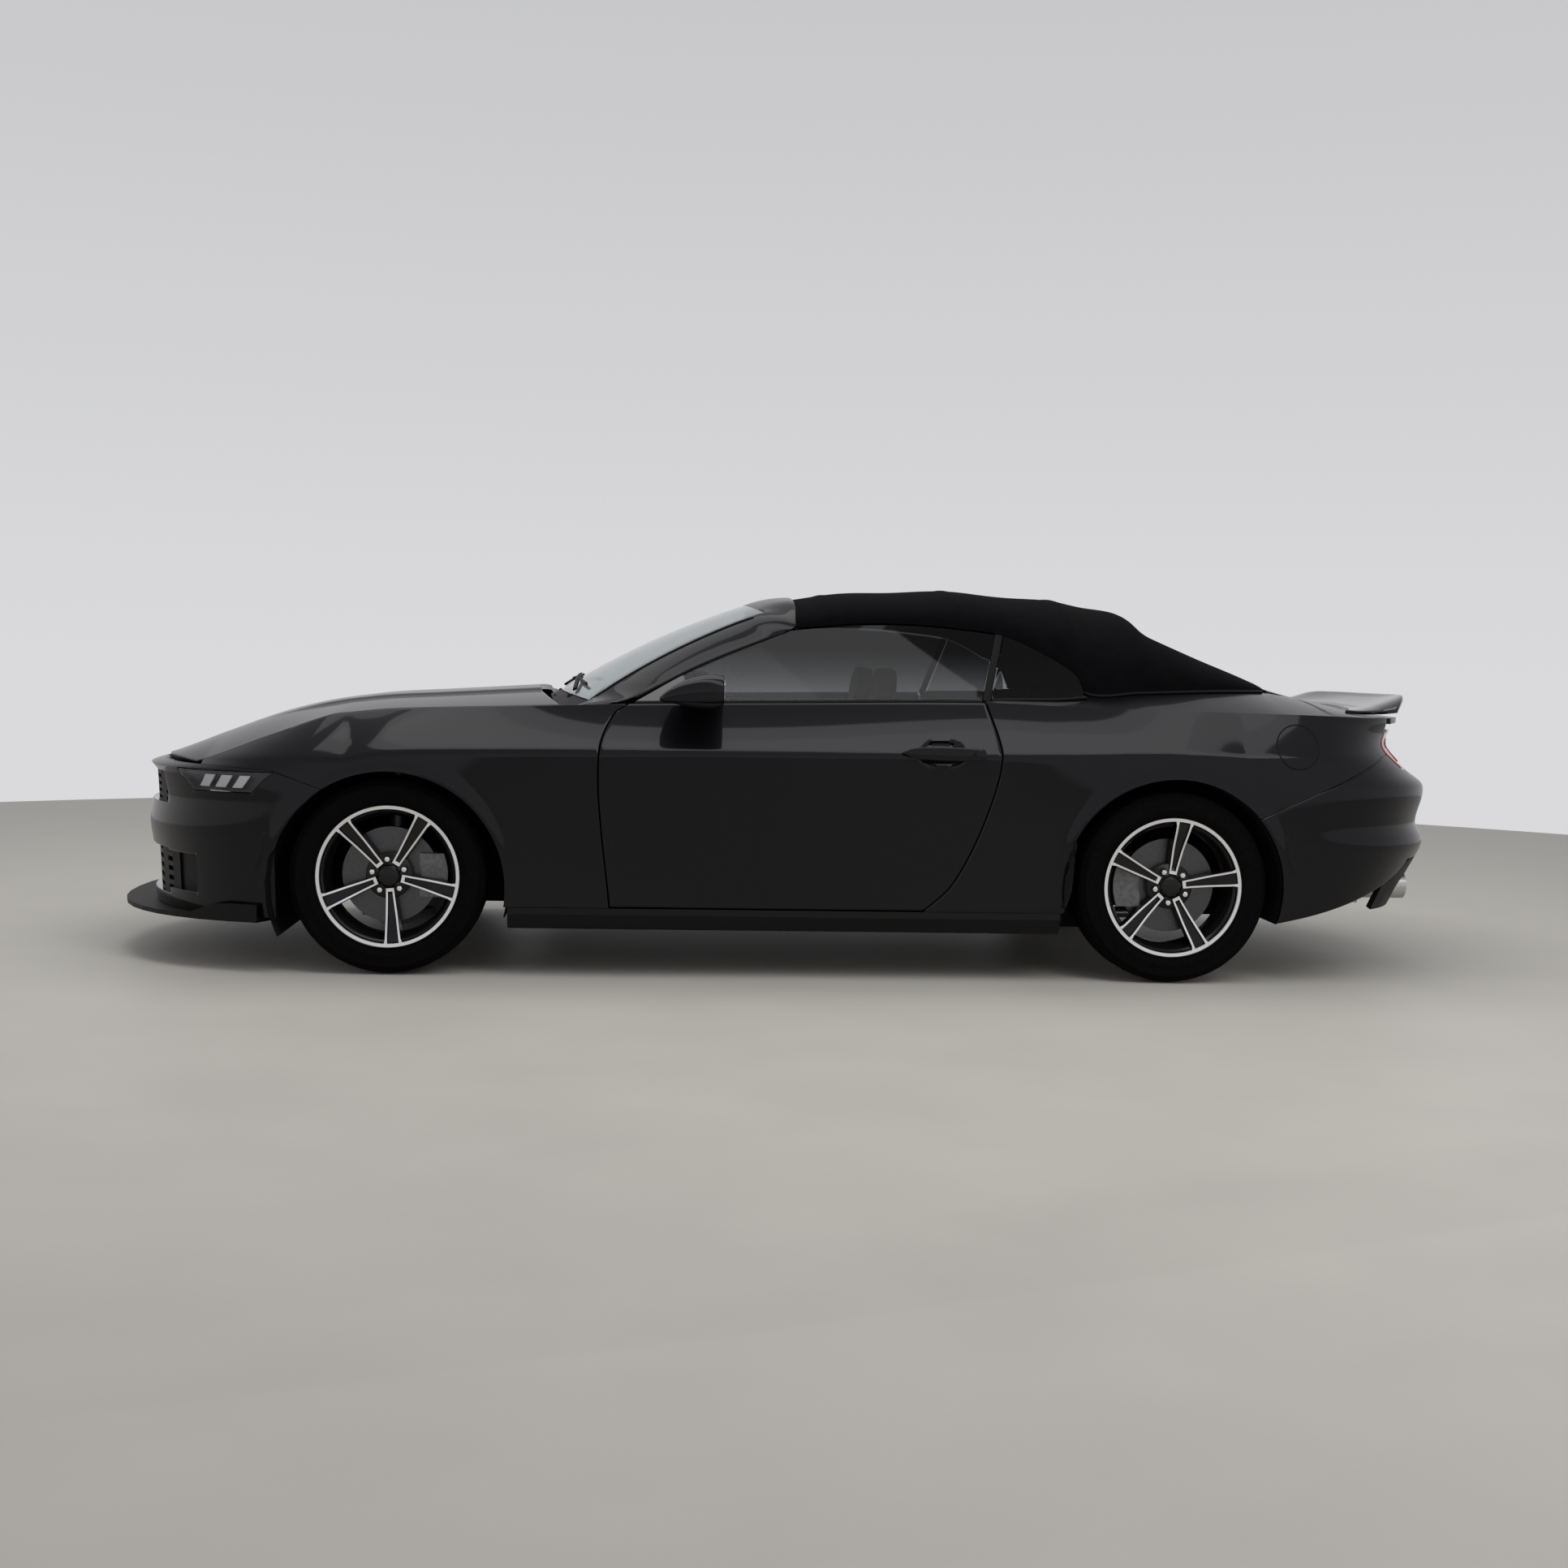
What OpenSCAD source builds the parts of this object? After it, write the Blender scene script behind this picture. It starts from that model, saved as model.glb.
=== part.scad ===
// Two-door muscle car with a raised fabric roof, standing on its wheels.
// Row frame: +X forward, +Y to the car's left, +Z up, ground at z = 0.

/* [Body] */
// Distance between the axles
wheelbase = 2720; // [2640:10:2800]
// Front axle to the middle of the nose
nose_overhang = 970; // [940:5:1000]
// Nose to the front lip of the splitter
splitter_reach = 90; // [70:5:110]
// Rear axle to the middle of the tail
tail_overhang = 1110; // [1080:5:1140]
// Width of the body over the rear haunches
body_w = 1916; // [1890:2:1940]
// Height of the body at the bottom of the doors
sill_h = 247; // [235:1:260]
// Height of the crease along the doors
shoulder_h = 787; // [775:1:800]
// Height of the side window sill
belt_h = 957; // [945:1:970]
// Height of the nose's upper edge
nose_h = 700; // [690:1:712]
// Height of the fabric roof
roof_h = 1392; // [1375:1:1410]
// Thickness of a body panel with its inner skin
panel_t = 20; // [14:1:24]
// Thickness of a door at the sill
door_t = 130; // [115:1:140]
// Gap around doors, hood and deck lid
shut_gap = 6; // [5:0.5:8]

/* [Wheels] */
// Radius of the tyre as it stands
tyre_r = 338; // [330:1:346]
// Width of the tyre
tyre_w = 235; // [215:5:245]
// Radius of the rim's outer lip
rim_r = 246; // [238:1:252]
// Distance between the front wheels' middles
front_track = 1582; // [1560:2:1600]
// Distance between the rear wheels' middles
rear_track = 1648; // [1620:2:1660]
// Circle of the wheel nuts
nut_circle = 114.3; // [108:0.1:120]
// Number of spokes on a wheel
spokes = 5; // [5:1:7]
// Radius of a brake disc
disc_r = 165; // [150:1:180]

/* [Cabin] */
// Thickness of the fabric roof with its lining
roof_t = 16; // [10:1:20]
// Thickness of the glass
glass_t = 5; // [4:0.5:6]
// Width of a front seat
seat_w = 520; // [480:5:540]

/* [Fits] */
// Gap between fixed panels that meet
seam = 0.3; // [0.2:0.05:0.5]
// Radius of the door, hood and lid hinge pins
pin_r = 6; // [5:0.5:7]
// Radial clearance of a hinge pin in its eye
pin_clear = 0.2; // [0.1:0.05:0.3]

/* [Hidden] */
$fn = 64;

// Main stations along the car
overall = splitter_reach + nose_overhang + wheelbase + tail_overhang;
nose_x = overall / 2 - splitter_reach;
tail_x = -overall / 2;
xf = nose_x - nose_overhang;
xr = tail_x + tail_overhang;
hw = body_w / 2;
axle_h = tyre_r;
// Wheel openings: radius and height of the centre, front and rear
arch_f = [400, axle_h - 38];
arch_r = [392, axle_h - 13];
// Where the rounded nose and tail plans begin, and how square they are
nose_start = xf + 140;
nose_power = 2.3;
tail_start = xr - 240;
tail_power = 2.8;
// Height of the lowest body section
floor_h = 190;

// Body side stations: x, sill y, lower bow, shoulder y, shoulder z, upper bow, top y
SIDE_SILL = 1;
SIDE_LOW = 2;
SIDE_Y = 3;
SIDE_Z = 4;
SIDE_HIGH = 5;
SIDE_TOP = 6;
side = [
  [tail_start, hw - 33, 10, hw - 8, shoulder_h + 10, -4, hw - 75],
  [xr, hw - 28, 12, hw, shoulder_h + 18, -2, hw - 62],
  [xr + 360, hw - 30, 4, hw - 6, shoulder_h + 8, -8, hw - 75],
  [xr + 660, hw - 30, -4, hw - 9, shoulder_h + 3, -10, hw - 90],
  [(xf + xr) / 2, hw - 26, -10, hw - 12, shoulder_h - 3, -10, hw - 96],
  [xf - 760, hw - 28, -6, hw - 13, shoulder_h - 8, -8, hw - 113],
  [xf - 380, hw - 33, 0, hw - 12, shoulder_h - 11, -2, hw - 138],
  [xf, hw - 33, 8, hw - 13, shoulder_h - 25, 6, hw - 163],
  [nose_start, hw - 43, 10, hw - 20, shoulder_h - 50, 8, hw - 173]
];
// Upper edge of the body side: x, z
crest_line = [
  [tail_x, belt_h - 22], [xr - 847, belt_h - 19], [xr - 473, belt_h - 9], [xr, belt_h - 2],
  [xr + 360, belt_h + 5], [xr + 660, belt_h + 13], [(xf + xr) / 2, belt_h - 1], [xf - 820, belt_h - 14],
  [xf - 380, belt_h - 31], [xf, belt_h - 47], [xf + 140, belt_h - 62], [xf + 215, belt_h - 73],
  [xf + 420, belt_h - 147], [xf + 707, nose_h + 8], [nose_x, nose_h]
];
// Middle of the hood: x, z
hood_line = [
  [xf - 660, belt_h + 39], [xf - 530, belt_h + 31], [xf - 305, belt_h + 15], [xf - 135, belt_h + 3],
  [xf + 130, belt_h - 17], [xf + 460, belt_h - 74], [xf + 680, belt_h - 151], [xf + 880, nose_h + 24],
  [nose_x, nose_h + 2]
];
// Height at a share of the nose's face
function nose_share(s) = floor_h + (nose_h - floor_h) * s;
// Nose and tail profiles on the centre plane: z, distance back from the furthest point
nose_line = [
  [floor_h, 25], [nose_share(0.0765), 20], [nose_share(0.396), 12], [nose_share(0.57), 0],
  [nose_share(0.7725), 12], [nose_share(0.902), 0], [nose_h - 10, 4], [nose_h + 22, 105],
  [nose_h + 106, 305], [belt_h - 69, 515], [belt_h, 800]
];
tail_line = [
  [215, 150], [252, 130], [444, 14], [490, 0], [556, 30], [688, 5], [748, 80], [830, 160], [880, 150],
  [belt_h - 30, 112], [belt_h + 10, 112]
];
// Door edges: share of the height from sill to belt, x
door_front = [
  [0, xf - 760], [0.06, xf - 755], [0.38, xf - 728], [0.63, xf - 715], [0.82, xf - 724], [0.96, xf - 770],
  [1, xf - 815]
];
door_rear = [
  [0, xr + 880], [0.05, xr + 835], [0.12, xr + 785], [0.31, xr + 710], [0.56, xr + 644], [0.73, xr + 620],
  [0.84, xr + 630], [1, xr + 670]
];
// Inner edge of the rear quarter beside the deck lid and beside the side glass: x, y, z
shelf = [[xr - 835, hw - 292, belt_h - 20], [xr - 700, hw - 252, belt_h - 8],
  [xr - 465, hw - 243, belt_h + 36]];
ledge = [[xr + 290, hw - 194, belt_h + 46], [xr + 425, hw - 168, belt_h + 30],
  [xr + 660, hw - 125, belt_h + 20]];
// Rise of the roof above the window sill
rise = roof_h - belt_h;
// Fabric roof sections: x, edge y, edge z, middle z
ROOF_Y = 1;
ROOF_EDGE = 2;
ROOF_MID = 3;
roof = [
  [xr - 500, hw - 620, belt_h + 0.1471 * rise, belt_h + 0.1931 * rise],
  [xr - 390, hw - 390, belt_h + 0.1563 * rise, belt_h + 0.2989 * rise],
  [xr - 165, hw - 255, belt_h + 0.1517 * rise, belt_h + 0.5333 * rise],
  [xr + 40, hw - 222, belt_h + 0.1333 * rise, belt_h + 0.7885 * rise],
  [xr + 95, hw - 216, belt_h + 0.1287 * rise, belt_h + 0.8621 * rise],
  [xr + 290, hw - 196, belt_h + 0.1149 * rise, belt_h + 0.9356 * rise],
  [xr + 330, hw - 222, belt_h + 0.2713 * rise, belt_h + 0.9448 * rise],
  [xr + 440, hw - 266, belt_h + 0.4345 * rise, belt_h + 0.9632 * rise],
  [xr + 577, hw - 300, belt_h + 0.577 * rise, belt_h + 0.9862 * rise],
  [xr + 710, hw - 316, belt_h + 0.623 * rise, belt_h + rise],
  [xr + 900, hw - 326, belt_h + 0.6552 * rise, belt_h + 0.9931 * rise],
  [xr + 1090, hw - 328, belt_h + 0.6529 * rise, belt_h + 0.9724 * rise],
  [xr + 1316, hw - 322, belt_h + 0.6023 * rise, belt_h + 0.8897 * rise]
];
roof_power = 2.5;
// Windscreen corners: side and middle of the lower and upper edge
screen_low = [xf - 670, hw - 255, belt_h - 5];
screen_low_mid = [xf - 545, 0, belt_h + 22];
screen_top = [xf - 1290, hw - 408, belt_h + 0.731 * rise];
screen_top_mid = [xf - 1235, 0, belt_h + 0.8138 * rise];
screen_bulge = 24;
// Door glass: inset from the belt, and inward lean of the glass
glass_in = 36;
glass_lean = 0.7;
glass_front_x = xf - 860;
post_line = [[xf - 1385, belt_h + 0.5977 * rise], [xf - 1048, belt_h + 0.2713 * rise],
  [xf - 815, belt_h - 12]];

// Wheels, brakes and steering
front_y = front_track / 2;
rear_y = rear_track / 2;
bead_r = rim_r - 10;
barrel_r = rim_r - 26;
wheel_face = 86;
hub_face = 45;
spoke_t = 34;
nut_r = 8;
ball = [xf, front_y - 46, 205];
strut_top = [xf, front_y - 191, 850];

// Smooth curve through a table's rows: column c at x, level beyond its ends
function row_at(t, x, i = 0) = (i >= len(t) - 2 || x <= t[i + 1][0]) ? i : row_at(t, x, i + 1);
function slope_at(t, c, i) = let (a = max(i - 1, 0), b = min(i + 1, len(t) - 1))
  (t[b][c] - t[a][c]) / (t[b][0] - t[a][0]);
function curve(t, c, x) = let (
    i = row_at(t, x), h = t[i + 1][0] - t[i][0], s = min(max((x - t[i][0]) / h, 0), 1),
    a = t[i][c], b = t[i + 1][c], da = slope_at(t, c, i) * h, db = slope_at(t, c, i + 1) * h
  ) a + da * s + (3 * (b - a) - 2 * da - db) * s * s + (da + db - 2 * (b - a)) * s * s * s;
function mix(a, b, t) = a + (b - a) * t;
function clamp(x, low, high) = min(max(x, low), high);
function span(n) = [for (i = [0:n]) i / n];

// Body side surface
function crest(x) = curve(crest_line, 1, x);
function side_y(x, z) = let (
    zm = curve(side, SIDE_Z, x), low = clamp((z - floor_h) / (zm - floor_h), 0, 1),
    high = clamp((z - zm) / (crest(x) - zm), 0, 1.1)
  ) z <= zm
    ? mix(curve(side, SIDE_SILL, x), curve(side, SIDE_Y, x), low)
      + curve(side, SIDE_LOW, x) * 4 * low * (1 - low)
    : mix(curve(side, SIDE_Y, x), curve(side, SIDE_TOP, x), high)
      + curve(side, SIDE_HIGH, x) * 4 * high * (1 - high);
function nose_tip(z) = nose_x - curve(nose_line, 1, z);
function tail_tip(z) = tail_x + curve(tail_line, 1, z);
function rounded(u, n) = pow(max(1 - pow(clamp(u, 0, 1), n), 0), 1 / n);
function skin_y(x, z) = side_y(clamp(x, tail_start, nose_start), z)
  * (x > nose_start ? rounded((x - nose_start) / (nose_tip(z) - nose_start), nose_power)
    : x < tail_start ? rounded((x - tail_start) / (tail_tip(z) - tail_start), tail_power) : 1);
function skin(x, z) = [x, skin_y(x, z), z];
// Points of the nose and tail: angle a from the centre plane, signed to the left
function nose_at(a, z) = [
    nose_start + (nose_tip(z) - nose_start) * pow(cos(a), 2 / nose_power),
    sign(a) * side_y(nose_start, z) * pow(abs(sin(a)), 2 / nose_power), z];
function tail_at(a, z) = [
    tail_start + (tail_tip(z) - tail_start) * pow(cos(a), 2 / tail_power),
    sign(a) * side_y(tail_start, z) * pow(abs(sin(a)), 2 / tail_power), z];
// Angle at which the nose or tail crosses x
function nose_angle(x, z) = acos(pow(clamp((x - nose_start) / (nose_tip(z) - nose_start), 0, 1),
  nose_power / 2));
function tail_angle(x, z) = acos(pow(clamp((x - tail_start) / (tail_tip(z) - tail_start), 0, 1),
  tail_power / 2));

// Door height share and edges; the panels beside the door share its rows
door_rows = [0, 0.12, 0.3, 0.5, 0.66, 0.76, 0.88, 1];
function door_z(x, v) = mix(sill_h, crest(x), v);
function door_edge(t, v, dx) = let (x = curve(t, 1, v) + dx) [x, door_z(x, v)];
// Side glass surface
function glass_y(x, z) = curve(side, SIDE_TOP, clamp(x, xr, xf)) - glass_in - glass_lean * (z - crest(x))
  - clamp((xr + 670 - x) / 380, 0, 1) * 22;
// Fabric roof surface: share a of a quarter turn from edge to middle, signed to the left
function roof_at(x, a) = let (m = 2 / roof_power, e = curve(roof, ROOF_EDGE, x))
  [x, sign(a) * curve(roof, ROOF_Y, x) * pow(cos(90 * (1 - abs(a))), m),
   e + (curve(roof, ROOF_MID, x) - e) * pow(sin(90 * (1 - abs(a))), m)];

// Closed shell between an outer and an inner grid of points; keep(i, j) cells only
function unit(v) = v / norm(v);
function grid_normal(g, i, j) = let (
    a = max(i - 1, 0), b = min(i + 1, len(g) - 1), c = max(j - 1, 0), d = min(j + 1, len(g[0]) - 1)
  ) unit(cross(g[b][j] - g[a][j], g[i][d] - g[i][c]));
function toward(p, q, d) = p + d * unit(q - p);
function inset_rows(g, d) = let (n = len(g) - 1) [for (i = [0:n]) [for (j = [0:len(g[0]) - 1])
  i == 0 ? toward(g[0][j], g[1][j], d) : i == n ? toward(g[n][j], g[n - 1][j], d) : g[i][j]]];
function inset_columns(g, d) = let (m = len(g[0]) - 1) [for (row = g) [for (j = [0:m])
  j == 0 ? toward(row[0], row[1], d) : j == m ? toward(row[m], row[m - 1], d) : row[j]]];
function inset(g, d) = inset_columns(inset_rows(g, d), d);
// Inner skin of a panel, its edges set back so that neighbours that meet stay clear inside
edge_back = 3;
function inward(g, t) = inset([for (i = [0:len(g) - 1]) [for (j = [0:len(g[0]) - 1])
  g[i][j] - t * grid_normal(g, i, j)]], edge_back);
function shifted(g, v) = [for (row = g) [for (p = row) p + v]];
function part(g, i0, i1, j0, j1) = [for (i = [i0:i1]) [for (j = [j0:j1]) g[i][j]]];
// Point of a grid at fractional columns and rows
function between(g, u, v) = let (i = min(floor(u), len(g) - 2), j = min(floor(v), len(g[0]) - 2))
  mix(mix(g[i][j], g[i + 1][j], u - i), mix(g[i][j + 1], g[i + 1][j + 1], u - i), v - j);
module shell(outer, inner, cells = undef) {
  nu = len(outer);
  nv = len(outer[0]);
  kept = [for (i = [0:nu - 2]) [for (j = [0:nv - 2]) is_undef(cells) || cells[i][j]]];
  has = function(i, j) i >= 0 && j >= 0 && i < nu - 1 && j < nv - 1 && kept[i][j];
  at = function(i, j, layer) layer * nu * nv + i * nv + j;
  faces = [
    for (i = [0:nu - 2]) for (j = [0:nv - 2]) if (kept[i][j]) let (
      a = at(i, j, 0), b = at(i + 1, j, 0), c = at(i + 1, j + 1, 0), d = at(i, j + 1, 0), n = nu * nv
    ) each concat(
      [[a, d, c], [a, c, b], [a + n, c + n, d + n], [a + n, b + n, c + n]],
      has(i, j - 1) ? [] : [[a, b, b + n], [a, b + n, a + n]],
      has(i + 1, j) ? [] : [[b, c, c + n], [b, c + n, b + n]],
      has(i, j + 1) ? [] : [[c, d, d + n], [c, d + n, c + n]],
      has(i - 1, j) ? [] : [[d, a, a + n], [d, a + n, d + n]])
  ];
  polyhedron(concat([for (row = outer) each row], [for (row = inner) each row]), faces);
}
module both_sides() { children(); mirror([0, 1, 0]) children(); }
module box(low, high) { translate(low) cube(high - low); }
module tube_y(p, r, length) { translate(p) rotate([-90, 0, 0]) cylinder(r = r, h = length); }

// Wheel openings and the lower edge of the side panels
rocker_top = sill_h - shut_gap;
panel_foot = rocker_top + seam;
function arch_at(x0, arch, a) = [x0 + arch[0] * cos(a), arch[1] + arch[0] * sin(a)];
function arch_foot(arch) = asin((panel_foot - arch[1]) / arch[0]);
function lifted(path) = [for (p = path) skin(p[0], p[1])];
function ruled(low, top, shares) = [for (i = [0:len(low) - 1]) [for (v = shares) mix(low[i], top[i], v)]];

// Front wing: from the lamp and the wheel opening out to the crest and the door
nose_joint = 57;
lamp_back = [xf + 395, nose_h - 3];
wing_tip_x = xf + 660;
wing_low = concat(
  [for (t = span(3)) mix([wing_tip_x, nose_h + 6], lamp_back, t)],
  [mix(lamp_back, arch_at(xf, arch_f, nose_joint), 0.5)],
  [for (t = span(13)) arch_at(xf, arch_f, mix(nose_joint, 180 - arch_foot(arch_f), t))]);
wing_corner = door_edge(door_front, 1, shut_gap);
wing_top = concat(
  [for (t = span(3)) let (x = mix(wing_tip_x, lamp_back[0], t)) [x, crest(x)]],
  [[xf + 318, crest(xf + 318)]],
  [for (t = span(6)) let (x = mix(xf + 240, wing_corner[0], t)) [x, crest(x)]],
  [for (j = [len(door_rows) - 2:-1:1]) door_edge(door_front, door_rows[j], shut_gap)],
  [[door_front[0][1] + shut_gap, panel_foot]]);
CREST_COLUMNS = 11;
// Slant of the edge beside the door, so that the door's edge can swing past it
edge_slant = 16;
module wing() {
  flat = ruled(wing_low, wing_top, span(5));
  outer = [for (i = [0:len(flat) - 1]) lifted([for (p = flat[i]) p + [0, i < 5 ? seam : 0]])];
  slim = inward(outer, panel_t);
  inner = [for (i = [0:len(outer) - 1]) [for (j = [0:5])
    j < 5 ? slim[i][j] : i > CREST_COLUMNS ? slim[i][j] + [edge_slant, 0, 0]
    : outer[i][j] + [i == CREST_COLUMNS ? 1.6 * edge_slant : 0, 0, -panel_t]]];
  shell(outer, inner);
}
module fenders() { color([0.13, 0.13, 0.15]) both_sides() wing(); }

// Rear quarter: from the sill, wheel opening and bumper joint up over the crest to the roof
tail_joint = 139;
lamp_corner = [xr - 790, 800];
quarter_end_x = xr - 830;
quarter_low = concat(
  [for (t = [0, 0.55]) mix([door_rear[0][1] - shut_gap, panel_foot],
  arch_at(xr, arch_r, arch_foot(arch_r)), t)],
  [for (t = span(8)) arch_at(xr, arch_r, mix(arch_foot(arch_r), tail_joint, t))],
  [for (t = [0.25, 0.5, 0.75, 1]) mix(arch_at(xr, arch_r, tail_joint), lamp_corner, t)],
  [[quarter_end_x, lamp_corner[1] + 8]]);
quarter_corner = door_edge(door_rear, 1, -shut_gap);
roof_foot_x = xr + 290;
roof_turn_x = xr - 410;
deck_step_x = xr - 572;
quarter_top = [for (x = [quarter_corner[0], xr + 604, xr + 515, xr + 425, roof_foot_x, xr + 150, xr + 40,
  xr - 20, xr - 120,
  xr - 230, xr - 320, roof_turn_x, deck_step_x + 2, deck_step_x, xr - 700, quarter_end_x]) [x, crest(x)]];
// Inner edge of the quarter: along the lid, across to the roof, along the roof and along the glass
roof_gap = 2;
function deck_y(x) = curve(roof, ROOF_Y, x) + roof_gap;
function deck_z(x) = curve(roof, ROOF_EDGE, x) - 2 * roof_gap;
function shelf_at(x) = x <= deck_step_x ? [x, curve(shelf, 1, x), curve(shelf, 2, x)]
  : x < roof_turn_x ? [x, deck_y(roof_turn_x),
    mix(deck_z(roof_turn_x), belt_h + 33, (roof_turn_x - x) / (roof_turn_x - deck_step_x))]
  : x <= roof_foot_x ? [x, deck_y(x), deck_z(x)] : [x, curve(ledge, 1, x), curve(ledge, 2, x)];
quarter_rows = door_rows;
quarter_fade = 5;
function quarter_point(i, v) = let (
    straight = mix(quarter_low[i], quarter_top[i], v),
    edge = door_edge(door_rear, v, -shut_gap) - mix(quarter_low[0], quarter_top[0], v),
    p = straight + edge * max(1 - i / quarter_fade, 0)
  ) i > 9 ? p + [0, (1 - v) * seam] : v == 0 ? straight : p;
module quarter() {
  outer = [for (i = [0:len(quarter_low) - 1]) concat(
    lifted([for (v = quarter_rows) quarter_point(i, v)]),
    [for (t = [0.35, 0.7, 1]) let (c = lifted([quarter_top[i]])[0], s = shelf_at(quarter_top[i][0]))
      mix(c, s, t) + [0, 0, 10 * t * (1 - t)]])];
  slim = inward(outer, panel_t);
  shell(outer, [for (i = [0:len(outer) - 1]) [for (j = [0:len(outer[0]) - 1])
    j < len(quarter_rows) ? slim[i][j] : outer[i][j] - [0, 0, panel_t]]]);
}
// Fixed deck between the roof's rear edge and the lid
deck_t = 8;
lid_gap = 12;
module deck() {
  reach = deck_y(roof_turn_x) - 2 * seam;
  left = concat(
    [for (x = [roof_turn_x, xr - 440, xr - 470]) [x - 1, min(deck_y(x), reach), deck_z(x)]],
    [for (a = [1, 0.8, 0.65, 0.45, 0.22, 0]) roof_at(xr - 500, a) - [1, 0, 3]]);
  front = concat(left, [for (i = [len(left) - 2:-1:0]) [left[i][0], -left[i][1], left[i][2]]]);
  rear = [for (p = front) let (s = p[1] / lid_edge_y(lid_front(0)), x = lid_front(s) + lid_gap)
    [x, p[1], lid_z(x, s)]];
  g = [for (t = span(2)) [for (i = [0:len(front) - 1]) mix(front[i], rear[i], t)]];
  shell(g, shifted(g, [0, 0, -deck_t]));
}
module quarter_panels() {
  color([0.13, 0.13, 0.15]) {
    both_sides() quarter();
    deck();
  }
}

// Nose: columns by their angle from the centre at lamp foot and lamp top, rows by height
lamp_low = nose_h - 85;
lamp_high = nose_h - 10;
lamp_span = [[49, 50], [66, 76]];
grille_angle = 38;
nose_columns = [[0, 0], [7, 7], [14, 14], [21, 21], [28, 28], [grille_angle, grille_angle], lamp_span[0],
  [55, 59], [60, 67], lamp_span[1], [74, 82]];
nose_rows = [floor_h, nose_share(0.094), nose_share(0.255), nose_share(0.412), nose_share(0.5686),
  nose_share(0.7255),
  lamp_low, lamp_high];
NOSE_LAMP = 6;
function nose_top(a) = a <= 50 ? nose_h + 10 - a / 12
  : mix(nose_h + 6, lamp_back[1], clamp((a - 50) / 26, 0, 1)) - seam;
function joint_z(x) = mix(lamp_back[1], arch_at(xf, arch_f, nose_joint)[1],
  clamp((lamp_back[0] - x) / (lamp_back[0] - arch_at(xf, arch_f, nose_joint)[0]), 0, 1)) - seam;
function arch_front_x(z) = xf + sqrt(max(pow(arch_f[0], 2) - pow(z - arch_f[1], 2), 0));
function nose_column(k, z) = let (c = nose_columns[k],
  t = clamp((z - lamp_low) / (lamp_high - lamp_low), 0, 1))
  mix(c[0], c[1], t);
function nose_point(k, j) = let (
    n = len(nose_columns), end = arch_at(xf, arch_f, nose_joint),
    z0 = j < len(nose_rows) ? nose_rows[j] : nose_top(nose_columns[min(k, n - 1)][1]),
    over = z0 > lamp_low ? (z0 - lamp_low) / (nose_h - lamp_low) : 0
  ) k >= NOSE_LAMP && j == len(nose_rows)
    ? skin(wing_low[k - NOSE_LAMP][0], wing_low[k - NOSE_LAMP][1] - seam)
    : k < n
    ? let (z = k == n - 1 && over > 0 ? mix(lamp_low, joint_z(nose_at(82, 660)[0]), min(over, 1)) : z0)
      nose_at(nose_column(k, z), z)
    : let (z = over > 0 ? mix(lamp_low, end[1] - seam, min(over, 1)) : z0)
      nose_at(nose_angle(arch_front_x(z), z), z);
function nose_grid() = let (n = len(nose_columns)) [for (k = [-n:n]) [for (j = [0:len(nose_rows)])
  let (p = nose_point(abs(k), j)) [p[0], sign(k) * abs(p[1]), p[2]]]];
// Kind of each cell of the nose: 1 bumper, 2 grille, 3 lamp
function nose_kind(i, j) = let (n = len(nose_columns), k = i < n ? n - 1 - i : i - n)
  k < 5 && (j == 1 || j == 2 || j == 5 || j == 6) ? 2 : k >= NOSE_LAMP && k < 9 && j == 6 ? 3 : 1;
function nose_cells(kind) = [for (i = [0:2 * len(nose_columns) - 1]) [for (j = [0:len(nose_rows) - 1])
  nose_kind(i, j) == kind]];
lamp_depth = 24;
lamp_gap = 0.6;
// Piece of a skin, columns i0 to i1 and rows j0 to j1, set into the opening left for it
module lens(g, i0, i1, j0, j1, depth) {
  shell(inset(part(g, i0, i1, j0, j1), lamp_gap),
    inset(part(inward(g, depth), i0, i1, j0, j1), 10 * lamp_gap));
}
module front_bumper() {
  g = nose_grid();
  color([0.13, 0.13, 0.15]) shell(g, inward(g, panel_t), nose_cells(1));
}
module headlamps() {
  g = nose_grid();
  color([0.2, 0.2, 0.22]) for (i = [2, 17]) lens(g, i, i + 3, 6, 7, lamp_depth);
}

// Grille: bars and uprights behind both openings, seated on the bumper's inner skin
grille_bars = 5;
grille_t = 14;
GRILLE_COLUMNS = 24;
module grille_part(low, high) {
  skin_in = inward(nose_grid(), panel_t);
  rows = 2 * grille_bars + 1;
  g = [for (u = span(GRILLE_COLUMNS))
    [for (v = span(rows)) between(skin_in, mix(5.7, 16.3, u), mix(low, high, v))]];
  outer = inward(g, 3 * seam);
  shell(outer, inward(outer, grille_t), [for (i = [0:GRILLE_COLUMNS - 1]) [for (j = [0:rows - 1])
    j % 2 == 0 || i % 4 == 1 || i == 0 || i == GRILLE_COLUMNS - 1]]);
}
module grille() {
  color([0.05, 0.05, 0.05]) {
    grille_part(0.85, 3.15);
    grille_part(4.85, 7.15);
  }
}

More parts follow.
